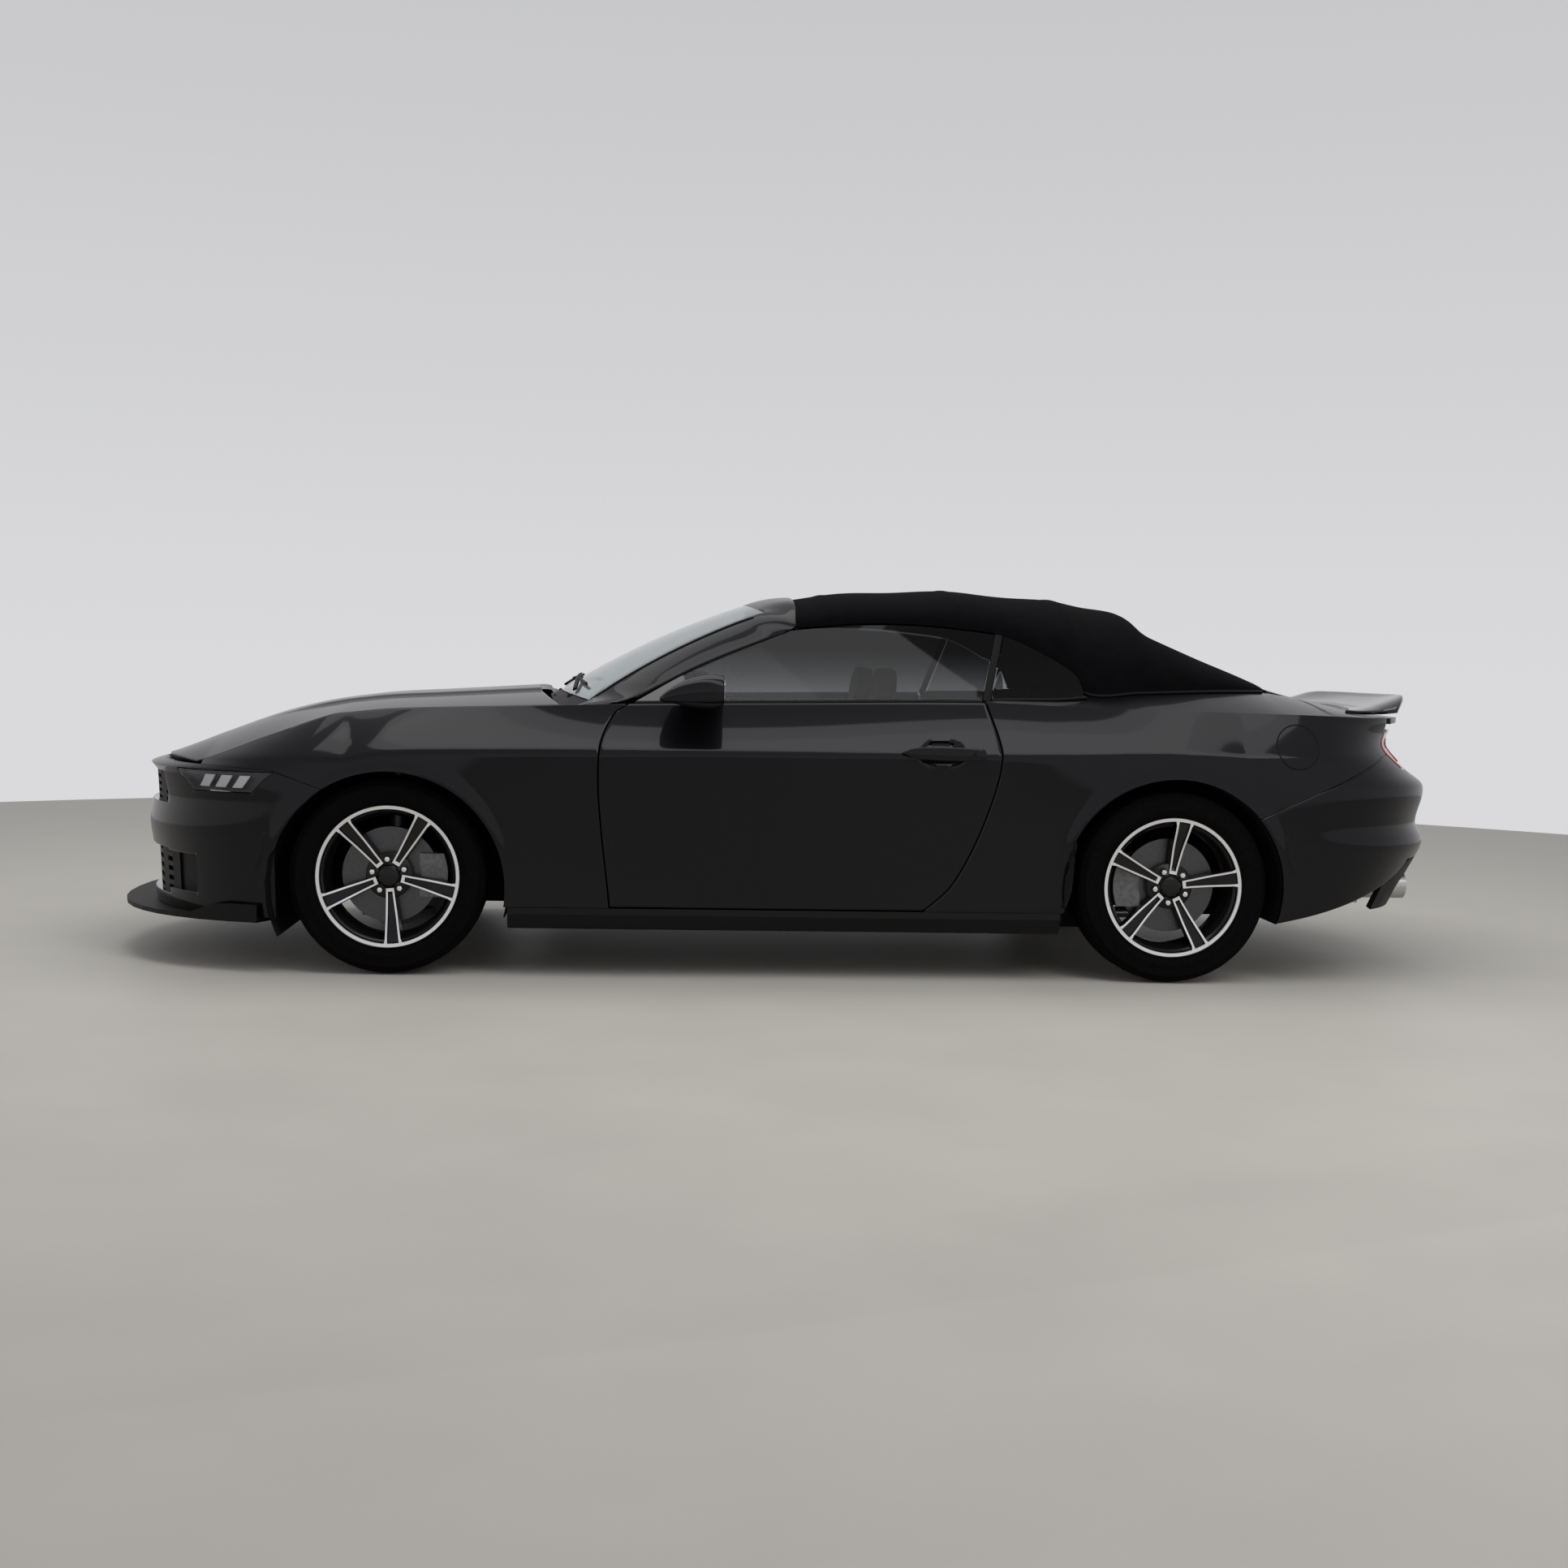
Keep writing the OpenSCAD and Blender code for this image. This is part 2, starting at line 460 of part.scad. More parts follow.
// Splitter: flat blade under the nose with an upright winglet at each end
splitter_t = 16;
function splitter_plan(reach, side_in, a) = [
  nose_start + (nose_x + reach - nose_start) * pow(cos(a), 2 / nose_power),
  sign(a) * (hw - side_in) * pow(abs(sin(a)), 2 / nose_power)];
splitter_end = 74;
splitter_side = 30;
winglet_h = 44;
winglet_t = 12;
winglet_start = 56;
module splitter() {
  translate([0, 0, floor_h - seam - splitter_t]) linear_extrude(splitter_t) polygon(concat(
    [for (t = span(20)) splitter_plan(splitter_reach, splitter_side, mix(-splitter_end, splitter_end, t))],
    [for (t = span(20)) splitter_plan(-130, 180, mix(splitter_end, -splitter_end, t))]));
  foot = floor_h - seam - splitter_t + 1;
  g = [for (t = span(6)) let (p = splitter_plan(splitter_reach, splitter_side,
    mix(winglet_start, splitter_end, t)))
    [for (v = [0, 1]) [p[0], p[1], foot + v * (splitter_t + winglet_h * sin(90 * clamp(1.6 * t, 0, 1)))]]];
  both_sides() shell(g, shifted(g, [0, -winglet_t, 0]));
}

// Rear bumper: columns by share of the angle from the left to the right wheel opening
corner_k = tail_angle(quarter_end_x, lamp_corner[1] + 8) / 90;
panel_columns = [corner_k, corner_k - 0.05, 0.34, 0.26, 0.18, 0.1, 0];
low_columns = concat([0.62, 0.55, 0.51], panel_columns);
tail_columns = concat([1, 0.95, 0.88, 0.8, 0.7], low_columns);
bumper_foot = 215;
bumper_mid_foot = 430;
bumper_mid_top = 748;
function arch_rear_x(z) = xr - sqrt(max(pow(arch_r[0], 2) - pow(z - arch_r[1], 2), 0));
function bumper_low(k) = k > 0.5 ? mix(bumper_mid_foot, bumper_foot, pow((k - 0.5) / 0.5, 0.6))
  : bumper_mid_foot;
// Height of the joint below the quarter at x, and where a column of the bumper meets it
function joint_low(x) = let (end = arch_at(xr, arch_r, tail_joint)) x > lamp_corner[0]
  ? mix(end[1], lamp_corner[1], clamp((end[0] - x) / (end[0] - lamp_corner[0]), 0, 1))
  : lamp_corner[1] + 8 * clamp((lamp_corner[0] - x) / (lamp_corner[0] - quarter_end_x), 0, 1);
function bumper_high(k, n = 14, z = 700) = k < corner_k - 0.01 ? bumper_mid_top - seam
  : n == 0 ? z - seam : bumper_high(k, n - 1, mix(z, joint_low(tail_point(k, z)[0]), 0.6));
function tail_point(k, z) = tail_at(k * tail_angle(arch_rear_x(z), z), z);
function mirrored_columns(c) = concat(c, [for (i = [len(c) - 2:-1:0]) -c[i]]);
module rear_bumper() {
  g = [for (k = mirrored_columns(tail_columns)) [for (v = span(8))
    tail_point(k, mix(bumper_low(abs(k)), bumper_high(abs(k)), v))]];
  color([0.13, 0.13, 0.15]) shell(g, inward(g, panel_t));
}

// Diffuser: lower middle of the tail, with upright fins
diffuser_foot = 252;
module diffuser() {
  g = [for (k = mirrored_columns(low_columns)) [for (v = span(3))
    tail_point(k, mix(diffuser_foot, bumper_low(abs(k)) - 2 * seam, v))]];
  difference() {
    shell(g, inward(g, panel_t));
    both_sides() translate([tip_end - 60, tip_at[1], tip_at[2]]) rotate([0, 90, 0])
      cylinder(r = tip_r + 6, h = 400);
  }
}

// Tail panel between the quarters, with its two lamp openings, and the rear wall of the boot
tail_panel_top = belt_h - 66;
function panel_point(k, z) = abs(k) == corner_k
  ? tail_at(sign(k) * tail_angle(quarter_end_x - edge_back, z), z) : tail_point(k, z);
function tail_panel_grid() = [for (k = mirrored_columns(panel_columns)) [for (v = [0, 0.12, 0.5, 0.88, 1])
  panel_point(k, mix(bumper_high(abs(k)) + 3 * seam, tail_panel_top, v))]];
function lamp_cell(i, j) = (j == 1 || j == 2) && ((i >= 1 && i <= 4) || (i >= 7 && i <= 10));
module tail_panel() {
  g = tail_panel_grid();
  color([0.05, 0.05, 0.05]) {
    shell(g, inward(g, panel_t), [for (i = [0:11]) [for (j = [0:3]) !lamp_cell(i, j)]]);
    box([boot_end - sheet_t - seam, -housing_r_y, 400], [boot_end - seam, housing_r_y, bumper_mid_top - 40]);
  }
}
module taillamps() {
  g = tail_panel_grid();
  color([0.5, 0.03, 0.03]) for (i = [1, 7]) lens(g, i, i + 4, 1, 3, 2 * panel_t);
}

// Rockers: the dark sill covers between the wheel openings
module rockers() {
  front = arch_at(xf, arch_f, 180 - arch_foot(arch_f))[0] - 14;
  rear = arch_at(xr, arch_r, arch_foot(arch_r))[0] + 14;
  both_sides() translate([rear, 0, 0]) rotate([90, 0, 90]) linear_extrude(front - rear) polygon([
    [hw - 150, rocker_top], [hw - 28, rocker_top], [hw - 24, rocker_top - 22], [hw - 40, rocker_top - 62],
    [hw - 66, rocker_top - 76], [hw - 150, rocker_top - 76]]);
}
// Black skirts all round: splitter, rockers and diffuser
module lower_trim() {
  color([0.05, 0.05, 0.05]) {
    splitter();
    rockers();
    diffuser();
  }
}

// Hood: crowned panel between the crests with a raised middle
hood_back = xf - 575;
hood_back_mid = xf - 465;
hood_front_z = nose_h + 13;
dome_h = 10;
hood_columns = [1, 0.86, 0.66, 0.48, 0.43, 0.22, 0];
function crest_y(x) = skin_y(x, crest(x));
function hood_edge_y(x) = crest_y(min(x, wing_tip_x)) - shut_gap - 2;
function hood_front(s) = let (tip = nose_tip(hood_front_z),
  y = abs(s) * hood_edge_y(wing_tip_x) / side_y(nose_start, hood_front_z))
  nose_start + (tip - nose_start) * rounded(y, nose_power);
function hood_z(x, s) = mix(crest(x), curve(hood_line, 1, x), 1 - pow(abs(s), 2.2))
  + dome_h * clamp((0.48 - abs(s)) / 0.05, 0, 1) * clamp((xf + 560 - x) / 300, 0, 1);
function hood_rear(s) = mix(hood_back_mid, hood_back, s * s);
function hood_grid() = [for (t = span(12)) [for (s = mirrored_columns(hood_columns))
  let (x = mix(hood_front(s), hood_rear(s), t)) [x, s * hood_edge_y(x), hood_z(x, s)]]];
hinge_w = 40;
// Hinge pins along Y for the hood and the deck lid, and the lid's own outline
hood_pin = [xf - 556, hw - 290, belt_h - 52];
lid_pin = [xr - 500, hw - 330, belt_h - 6];
// Arm from a pin's eye to its panel, as outlines in x and z from the pin
hood_arm = [[[-8, 0], [-6, 14], [24, 22], [62, 30], [62, 8], [14, -8]],
  [[26, 14], [60, 14], [60, 38], [30, 36]]];
lid_arm = [[[-10, 0], [10, 0], [-6, -96], [-28, -96]], [[-26, -104], [-8, -80], [-130, -54], [-146, -74]],
  [[-148, -74], [-128, -60], [-140, 8], [-160, 8]]];
module hinge_eye(pin, arm) {
  both_sides() difference() {
    union() {
      tube_y(pin - [0, hinge_w / 4, 0], 2 * pin_r, hinge_w / 2);
      for (q = arm) translate(pin + [0, hinge_w / 4, 0]) rotate([90, 0, 0]) linear_extrude(hinge_w / 2)
        polygon(q);
    }
    tube_y(pin - [0, hinge_w, 0], pin_r + pin_clear, 2 * hinge_w);
  }
}
module hinge_ears(pin, foot) {
  both_sides() {
    for (side = [-1, 1]) {
      low = side * (hinge_w / 4 + 6) - 5;
      tube_y(pin + [0, low, 0], 1.6 * pin_r, 10);
      box([pin[0] - 1.2 * pin_r, pin[1] + low, foot], [pin[0] + 1.2 * pin_r, pin[1] + low + 10, pin[2]]);
    }
    tube_y(pin - [0, hinge_w / 4 + 6, 0], pin_r, hinge_w / 2 + 12);
  }
}
module hood() {
  color([0.13, 0.13, 0.15]) {
    g = hood_grid();
    shell(g, inward(g, panel_t));
    hinge_eye(hood_pin, hood_arm);
  }
}

// Deck lid and its raised lip
lid_line = [[xr - 990, belt_h - 24], [xr - 850, belt_h + 2], [xr - 700, belt_h + 36], [xr - 530, belt_h + 66],
  [xr - 330, belt_h + 78]];
lid_columns = [1, 0.85, 0.65, 0.4, 0.2, 0];
lid_edge_z = belt_h - 24;
function lid_edge_y(x) = curve(shelf, 1, x) - shut_gap;
function lid_front(s) = mix(xr - 600, xr - 584, s * s);
function lid_rear(s) = let (y = abs(s) * lid_edge_y(quarter_end_x) / side_y(tail_start, lid_edge_z))
  tail_start + (tail_tip(lid_edge_z) - tail_start) * rounded(y, tail_power);
function lid_z(x, s) = mix(curve(shelf, 2, x), curve(lid_line, 1, x), 1 - s * s);
function lid_point(x, s) = [x, s * lid_edge_y(x), lid_z(x, s)];
module deck_lid() {
  g = [for (t = span(7)) [for (s = mirrored_columns(lid_columns))
    lid_point(mix(lid_front(s), lid_rear(s), t), s)]];
  color([0.13, 0.13, 0.15]) {
    shell(g, inward(g, panel_t));
    hinge_eye(lid_pin, lid_arm);
  }
}
spoiler_h = 78;
spoiler_chord = 190;
spoiler_t = 12;
function spoiler_front(s) = lid_rear(s) + spoiler_chord;
module spoiler() {
  g = [for (t = span(4)) [for (s = mirrored_columns([0.97, 0.85, 0.65, 0.4, 0.2, 0]))
    let (x = mix(spoiler_front(s), lid_rear(s) - 20, t)) lid_point(x, s)
      + [0, 0, 2 * seam + spoiler_t + spoiler_h * pow(t, 1.4) * (1 - pow(abs(s), 8))]]];
  color([0.05, 0.05, 0.05]) shell(g, inward(g, spoiler_t));
}

// Windscreen, its frame and the cowl in front of it
function screen_edge(side, mid, s) = [mix(mid[0], side[0], s * s), s * side[1], mix(mid[2], side[2], s * s)];
function screen_at(t, s) = mix(screen_edge(screen_low, screen_low_mid, s),
  screen_edge(screen_top, screen_top_mid, s), t)
  + screen_bulge * 4 * t * (1 - t) * [0.45, 0.15 * s, 0.88];
screen_columns = [1, 0.75, 0.5, 0.25, 0];
module windshield() {
  g = [for (t = span(5)) [for (s = mirrored_columns(screen_columns)) screen_at(t, s)]];
  color([0.4, 0.5, 0.48, 0.5]) shell(g, inward(g, glass_t));
}
post_t = 34;
function post_z(x) = curve(post_line, 1, x);
function roof_front(a) = roof_at(roof[len(roof) - 1][0], a);
function roof_share(y) = let (r = clamp(abs(y) / roof[len(roof) - 1][ROOF_Y], 0, 1))
  sign(y) * (1 - acos(pow(r, roof_power / 2)) / 90);
// Outer and glass-side edge of the frame, along the left post and over the header
function post_pair(t) = let (x = mix(xf - 815, roof[len(roof) - 1][0] + seam, t), z = post_z(x))
  [[x, glass_y(x, z) - 12, z + 4 + 12 * pow(1 - t, 6)], screen_at(t, 1) + [0, 2 * seam, 0]];
function header_pair(s) = let (top = screen_at(1, s), g = roof_front(roof_share(top[1] * 1.155)))
  [g + [2 * seam, 0, 0], top + [-seam, 0, seam]];
function frame_pairs() = let (
    foot = [[xf - 700, crest_y(xf - 700) - 8, crest(xf - 700) - 6],
      [xf - 610, crest_y(xf - 610) - 12, crest(xf - 610) - 10]],
    left = concat([foot], [for (t = span(6)) if (t < 1) post_pair(t)],
      [for (s = [1, 0.8, 0.55, 0.3]) header_pair(s)])
  ) concat(left, [header_pair(0)], [for (i = [len(left) - 1:-1:0]) [for (p = left[i]) [p[0], -p[1], p[2]]]]);
module windshield_frame() {
  g = frame_pairs();
  corner = wing_corner[0];
  top = crest(corner - 100) + shut_gap;
  color([0.08, 0.08, 0.09]) difference() {
    union() {
      shell(g, inward(g, post_t));
      both_sides() box([xf - 690, sill_y - 73, beam_z + seam], [xf - 660, sill_y - 54, belt_h - 27]);
    }
    translate([0, hw, 0]) rotate([90, 0, 0]) linear_extrude(2 * hw) polygon([
      [corner - 400, top - 200], [corner + 110, top - 200], [corner + 97, top - 80], [corner + 49, top - 34],
      [corner, top], [corner - 400, top]]);
  }
}
module cowl() {
  g = [for (t = span(2)) [for (s = mirrored_columns([1, 0.75, 0.5, 0.25, 0]))
    mix([hood_rear(s) - 40, s * (hw - 170), hood_z(hood_rear(s), s) - 34],
      screen_edge(screen_low, screen_low_mid, s) + [2 * seam, 0, -4], t)]];
  color([0.05, 0.05, 0.05]) {
    shell(g, shifted(g, [0, 0, -10]));
    both_sides() box([firewall_x + 2, 200, beam_z + seam], [firewall_x + 14, 260, belt_h + 2]);
  }
}

// Fabric roof and its heated rear window
roof_columns = [1, 0.93, 0.8, 0.65, 0.45, 0.22, 0];
roof_stations = [xr + 1316, xr + 1180, xr + 1000, xr + 800, xr + 650, xr + 530, xr + 420, xr + 340,
  xr + 290, xr + 150, xr + 40,
  xr - 20, xr - 120, xr - 230, xr - 320, xr - 410, xr - 500];
WINDOW_ROWS = [11, 13];
WINDOW_COLUMNS = [3, 8];
function roof_grid() = [for (x = roof_stations) [for (a = mirrored_columns(roof_columns)) roof_at(x, a)]];
function window_cells(inside) = [for (i = [0:len(roof_stations) - 2]) [for (j = [0:11])
  (i >= WINDOW_ROWS[0] && i <= WINDOW_ROWS[1] && j >= WINDOW_COLUMNS[0] && j <= WINDOW_COLUMNS[1])
    == inside]];
module soft_top() {
  g = roof_grid();
  color([0.04, 0.04, 0.04]) shell(g, inward(g, roof_t), window_cells(false));
}
module rear_window() {
  color([0.1, 0.1, 0.11, 0.5])
    lens(roof_grid(), WINDOW_ROWS[0], WINDOW_ROWS[1] + 1, WINDOW_COLUMNS[0], WINDOW_COLUMNS[1] + 1, glass_t);
}

// Side glass
glass_gap = 6;
function glass_top_z(x) = (x > roof[len(roof) - 1][0] ? post_z(x) : curve(roof, ROOF_EDGE, x)) - glass_gap;
function glass_at(x, z) = [x, glass_y(x, z), z];
// Lift of the glass's foot, so that its leaning lower edge stays above the sill
glass_foot = 4 * seam;
module side_glass(low_x, top_x, n, foot, top_gap) {
  g = [for (u = span(n)) let (
      xb = mix(low_x[0], low_x[1], u), xt = mix(top_x[0], top_x[1], u),
      zb = foot(xb) + glass_foot, zt = glass_top_z(xt) + top_gap
    ) [for (v = span(3)) glass_at(mix(xb, xt, v), mix(zb, zt, v))]];
  color([0.1, 0.1, 0.11, 0.5]) shell(g, inward(g, glass_t));
}
module door_glass() {
  side_glass([glass_front_x, xr + 676], [glass_front_x - 30, xr + 606], 12, function(x) crest(x), 0);
}
module door_glass_left() { door_glass(); }
module door_glass_right() { mirror([0, 1, 0]) door_glass(); }
// Height of the quarter's upper strip below the glass at x
function strip_z(x) = let (c = skin(x, crest(x)), s = shelf_at(x),
  t = clamp((c[1] - glass_y(x, s[2])) / (c[1] - s[1]), 0, 1))
  mix(c[2], s[2], t) + 10 * t * (1 - t);
module quarter_glass() {
  both_sides() side_glass([xr + 640, xr + 372], [xr + 574, xr + 366], 5, function(x) strip_z(x) + 2 * seam,
    glass_gap - 1);
}
module rear_glass() {
  rear_window();
  quarter_glass();
}

// Doors with their hinge pockets and pins
door_pin = [xf - 775, hw - 56];
door_hinges = [shoulder_h - 400, shoulder_h - 130];
hinge_h = 76;
door_eye_r = pin_r + 5;
door_rear_slant = 10;
function door_point(u, v) = let (x = mix(curve(door_front, 1, v), curve(door_rear, 1, v), u))
  skin(x, door_z(x, v));
function door_inner_y(v) = hw - 30 - mix(door_t, door_t + 30, v);
DOOR_COLUMNS = 14;
module door() {
  g = [for (u = span(DOOR_COLUMNS)) [for (v = door_rows) door_point(u, v)]];
  inner = [for (i = [0:DOOR_COLUMNS]) [for (j = [0:len(door_rows) - 1])
    [g[i][j][0] + (i == DOOR_COLUMNS ? door_rear_slant : 0), door_inner_y(door_rows[j]), g[i][j][2]]]];
  difference() {
    shell(g, inner);
    for (z = door_hinges)
      box([door_pin[0] - 24, 0, z], [door_pin[0] + 200, door_pin[1] + door_eye_r + 5, z + hinge_h]);
  }
  for (z = door_hinges) translate([door_pin[0], door_pin[1], z]) cylinder(r = pin_r, h = hinge_h);
}
module door_left() { color([0.13, 0.13, 0.15]) door(); }
module door_right() { color([0.13, 0.13, 0.15]) mirror([0, 1, 0]) door(); }

// Door mirrors on a foot at the belt
mirror_at = [xf - 1010, hw + 12, belt_h + 38];
module door_mirror() {
  hull() {
    translate(mirror_at + [90, 15, -6]) sphere(r = 24, $fn = 20);
    translate(mirror_at + [60, -30, 0]) sphere(r = 36, $fn = 20);
    translate(mirror_at + [-55, -40, 0]) sphere(r = 50, $fn = 20);
    translate(mirror_at + [-58, 24, 3]) sphere(r = 46, $fn = 20);
  }
  foot_x = mirror_at[0] - 10;
  foot_z = crest(foot_x);
  hull() {
    translate(mirror_at + [-10, -50, -18]) sphere(r = 18, $fn = 16);
    box([foot_x - 50, crest_y(foot_x) - 28, foot_z + 1.5], [foot_x + 50, crest_y(foot_x) - 8, foot_z + 10]);
  }
}
module mirror_left() { color([0.13, 0.13, 0.15]) door_mirror(); }
module mirror_right() { color([0.13, 0.13, 0.15]) mirror([0, 1, 0]) door_mirror(); }

// Tub: floor, sills, posts, bulkheads, wheel housings, rails and hinge brackets
sheet_t = 15;
floor_low = rocker_top - 76;
floor_top = floor_low + 20;
sill_y = hw - 150;
firewall_x = xf - 540;
bulkhead_x = xr + 240;
sill_x = xr + arch_r[0] + 10;
beam_z = belt_h - 110;
tunnel_y = 120;
tunnel_h = 376;
housing_f_y = front_y - 331;
housing_r_y = rear_y - 224;
boot_floor = 430;
boot_y = housing_r_y - sheet_t - seam;
pad_h = 14;
boot_end = xr - 790;
liner_gap = 4;
liner_t = 10;
module liner(x0, arch, y0, y1, foot) {
  difference() {
    tube_y([x0, y0, arch[1]], arch[0] + liner_gap + liner_t, y1 - y0);
    tube_y([x0, y0 - 1, arch[1]], arch[0] + liner_gap, y1 - y0 + 2);
    box([x0 - 600, y0 - 1, arch[1] - 600], [x0 + 600, y1 + 1, foot]);
  }
}
module door_bracket() {
  for (z = door_hinges) translate([door_pin[0], door_pin[1], z + 12]) difference() {
    union() {
      cylinder(r = door_eye_r, h = hinge_h - 24);
      rotate([0, 0, -74]) translate([pin_r + 2, -7, 0]) cube([162, 14, hinge_h - 24]);
    }
    translate([0, 0, -1]) cylinder(r = pin_r + pin_clear, h = hinge_h);
  }
}
module tub_side() {
  box([sill_x, sill_y - 116, floor_low], [firewall_x, sill_y - seam, rocker_top]);
  box([sill_x, sill_y - 108, rocker_top - 1], [firewall_x, sill_y - 40, rocker_top + 80]);
  box([xf - 765, sill_y - 118, rocker_top], [firewall_x + sheet_t, sill_y - 52, beam_z]);
  box([xr + 470, sill_y - 118, rocker_top], [xr + 592, sill_y - 20, belt_h - 60]);
  box([bulkhead_x - 5, sill_y - 128, floor_low + 2], [xr + 580, sill_y - 112, belt_h - 62]);
  door_bracket();
  for (x = [firewall_x - 130, bulkhead_x + 330])
    box([x - 45, sill_y - 85, floor_low - pad_h], [x + 45, sill_y - 15, floor_low]);
  box([firewall_x, housing_f_y - 90, 380], [nose_x - 250, housing_f_y - 20, 500]);
  difference() {
    union() {
      box([xf - 420, housing_f_y - 20, 420], [xf + 420, housing_f_y, 780]);
      box([xf - 140, housing_f_y - 20, 700], [xf + 140, housing_f_y, 870]);
      liner(xf, arch_f, housing_f_y, hw - 100, arch_f[1]);
    }
    box([xf - 130, housing_f_y + 1, 600], [xf + 130, front_y - 80, 900]);
  }
  box([xf - 140, housing_f_y - 20, strut_top[2] + seam], [xf + 140, front_y - 90, 870]);
  box([firewall_x, housing_f_y - 20, beam_z - 110], [xf - 400, housing_f_y + 60, beam_z - 40]);
  box([firewall_x, housing_f_y + 40, beam_z - 60], [firewall_x + 60, sill_y - 45, beam_z]);
  box([firewall_x, hood_pin[1] - 40, beam_z - 20], [firewall_x + 20, hood_pin[1] + 40, beam_z + 17]);
  box([hood_pin[0] - 16, hood_pin[1] - 40, beam_z + 4], [firewall_x + 10, hood_pin[1] + 40, beam_z + 17]);
  liner(xr, arch_r, housing_r_y, hw - 62, arch_r[1]);
  box([xr - 420, housing_r_y - sheet_t, 470], [bulkhead_x, housing_r_y, belt_h - 60]);
  box([boot_end, housing_r_y - sheet_t, boot_floor], [xr - 420, housing_r_y, belt_h - 110]);
  box([lid_pin[0] - 20, housing_r_y - sheet_t, belt_h - 140],
    [lid_pin[0] + 20, lid_pin[1] + 40, belt_h - 110]);
}
module tub() {
  color([0.1, 0.1, 0.1]) {
    difference() {
      box([bulkhead_x, -sill_y + 113, floor_low], [firewall_x, sill_y - 113, floor_top]);
      box([bulkhead_x - 1, -tunnel_y + sheet_t, floor_low - 1],
        [firewall_x + 1, tunnel_y - sheet_t, floor_top + 1]);
    }
    difference() {
      box([bulkhead_x, -tunnel_y, floor_low], [firewall_x, tunnel_y, tunnel_h]);
      box([bulkhead_x - 1, -tunnel_y + sheet_t, floor_low - 1],
        [firewall_x + 1, tunnel_y - sheet_t, tunnel_h - sheet_t]);
    }
    difference() {
      box([firewall_x, -sill_y + 40, floor_low], [firewall_x + sheet_t, sill_y - 40, beam_z]);
      box([firewall_x - 1, -tunnel_y + sheet_t, floor_low - 1],
        [firewall_x + sheet_t + 1, tunnel_y - sheet_t, tunnel_h - sheet_t]);
    }
    difference() {
      box([bulkhead_x - sheet_t, -sill_y + 110, floor_low], [bulkhead_x, sill_y - 110, belt_h - 25]);
      box([bulkhead_x - sheet_t - 1, -tunnel_y + sheet_t, floor_low - 1],
        [bulkhead_x + 1, tunnel_y - sheet_t, tunnel_h - sheet_t]);
    }
    box([xr - 300, -housing_r_y, belt_h - 40], [bulkhead_x, housing_r_y, belt_h - 25]);
    box([boot_end, -boot_y, boot_floor], [bulkhead_x - sheet_t - seam, boot_y, boot_floor + sheet_t]);
    box([nose_x - 250, -housing_f_y + 20, 380], [nose_x - 190, housing_f_y - 20, 560]);
    both_sides() tub_side();
    hinge_ears(hood_pin, beam_z + 10);
    hinge_ears(lid_pin, belt_h - 120);
  }
}

// Engine with its gearbox, one plain mass in its real place
engine_low = 232;
module engine() {
  color([0.25, 0.25, 0.26]) {
    box([xf - 430, -190, engine_low], [xf + 150, 190, 620]);
    box([xf - 400, -300, 560], [xf + 120, 300, 780]);
    translate([xf - 430 - 620, 0, 268]) rotate([0, 90, 0]) cylinder(r = 78, h = 630);
  }
}

// Exhaust: two pipes, mufflers and tips
pipe_r = 22;
module pipe(a, b, r) {
  d = b - a;
  translate(a) rotate([0, acos(d[2] / norm(d)), atan2(d[1], d[0])]) cylinder(r = r, h = norm(d));
}
exhaust_route = [[xf - 860, 90, 141], [xr + 160, 90, 141], [xr - 210, 300, 176], [xr - 520, 430, 300]];
tip_r = 48;
tip_at = [xr - 760, hw - 358, 322];
tip_end = xr - 948;
module exhaust() {
  color([0.6, 0.6, 0.6]) both_sides() {
    for (i = [0:2]) pipe(exhaust_route[i], exhaust_route[i + 1], pipe_r);
    for (i = [1:2]) translate(exhaust_route[i]) sphere(r = pipe_r + 2);
    box([tip_at[0], hw - 640, 262], [xr - 500, hw - 300, 400]);
    box([xr - 650, hw - 500, 399], [xr - 610, hw - 460, boot_floor - seam]);
    difference() {
      translate([tip_end, tip_at[1], tip_at[2]]) rotate([0, 90, 0])
        cylinder(r = tip_r, h = tip_at[0] - tip_end + 1);
      translate([tip_end - 1, tip_at[1], tip_at[2]]) rotate([0, 90, 0]) cylinder(r = tip_r - 4, h = 120);
    }
  }
}

// Cabin
wheel_rake = 24;
driver_y = 388;
column_l = 90;
dash_y = sill_y - 122;
dash_back = firewall_x - seam;
steer_at = [dash_back - 470, driver_y, beam_z - 20];
module dashboard() {
  color([0.06, 0.06, 0.06]) translate(steer_at) rotate([0, 90 + wheel_rake, 0]) translate([0, 0, column_l])
    cylinder(r = 42, h = 150);
  color([0.06, 0.06, 0.06]) translate([0, dash_y, 0]) rotate([90, 0, 0]) linear_extrude(2 * dash_y)
    polygon([[dash_back, beam_z - 207], [dash_back, beam_z - 10], [dash_back - 150, beam_z + 40],
      [dash_back - 330, beam_z + 30],
      [dash_back - 360, beam_z - 20], [dash_back - 330, beam_z - 160], [dash_back - 250, beam_z - 207]]);
}
module steering_wheel() {
  color([0.05, 0.05, 0.05]) translate(steer_at) rotate([0, 90 + wheel_rake, 0]) {
    rotate_extrude() translate([178, 0]) circle(r = 15);
    cylinder(r = 62, h = 40, center = true);
    for (a = [0, 120, 240]) rotate([0, 0, a + 90]) translate([50, -14, -8]) cube([120, 28, 14]);
    cylinder(r = 26, h = column_l - seam);
  }
}
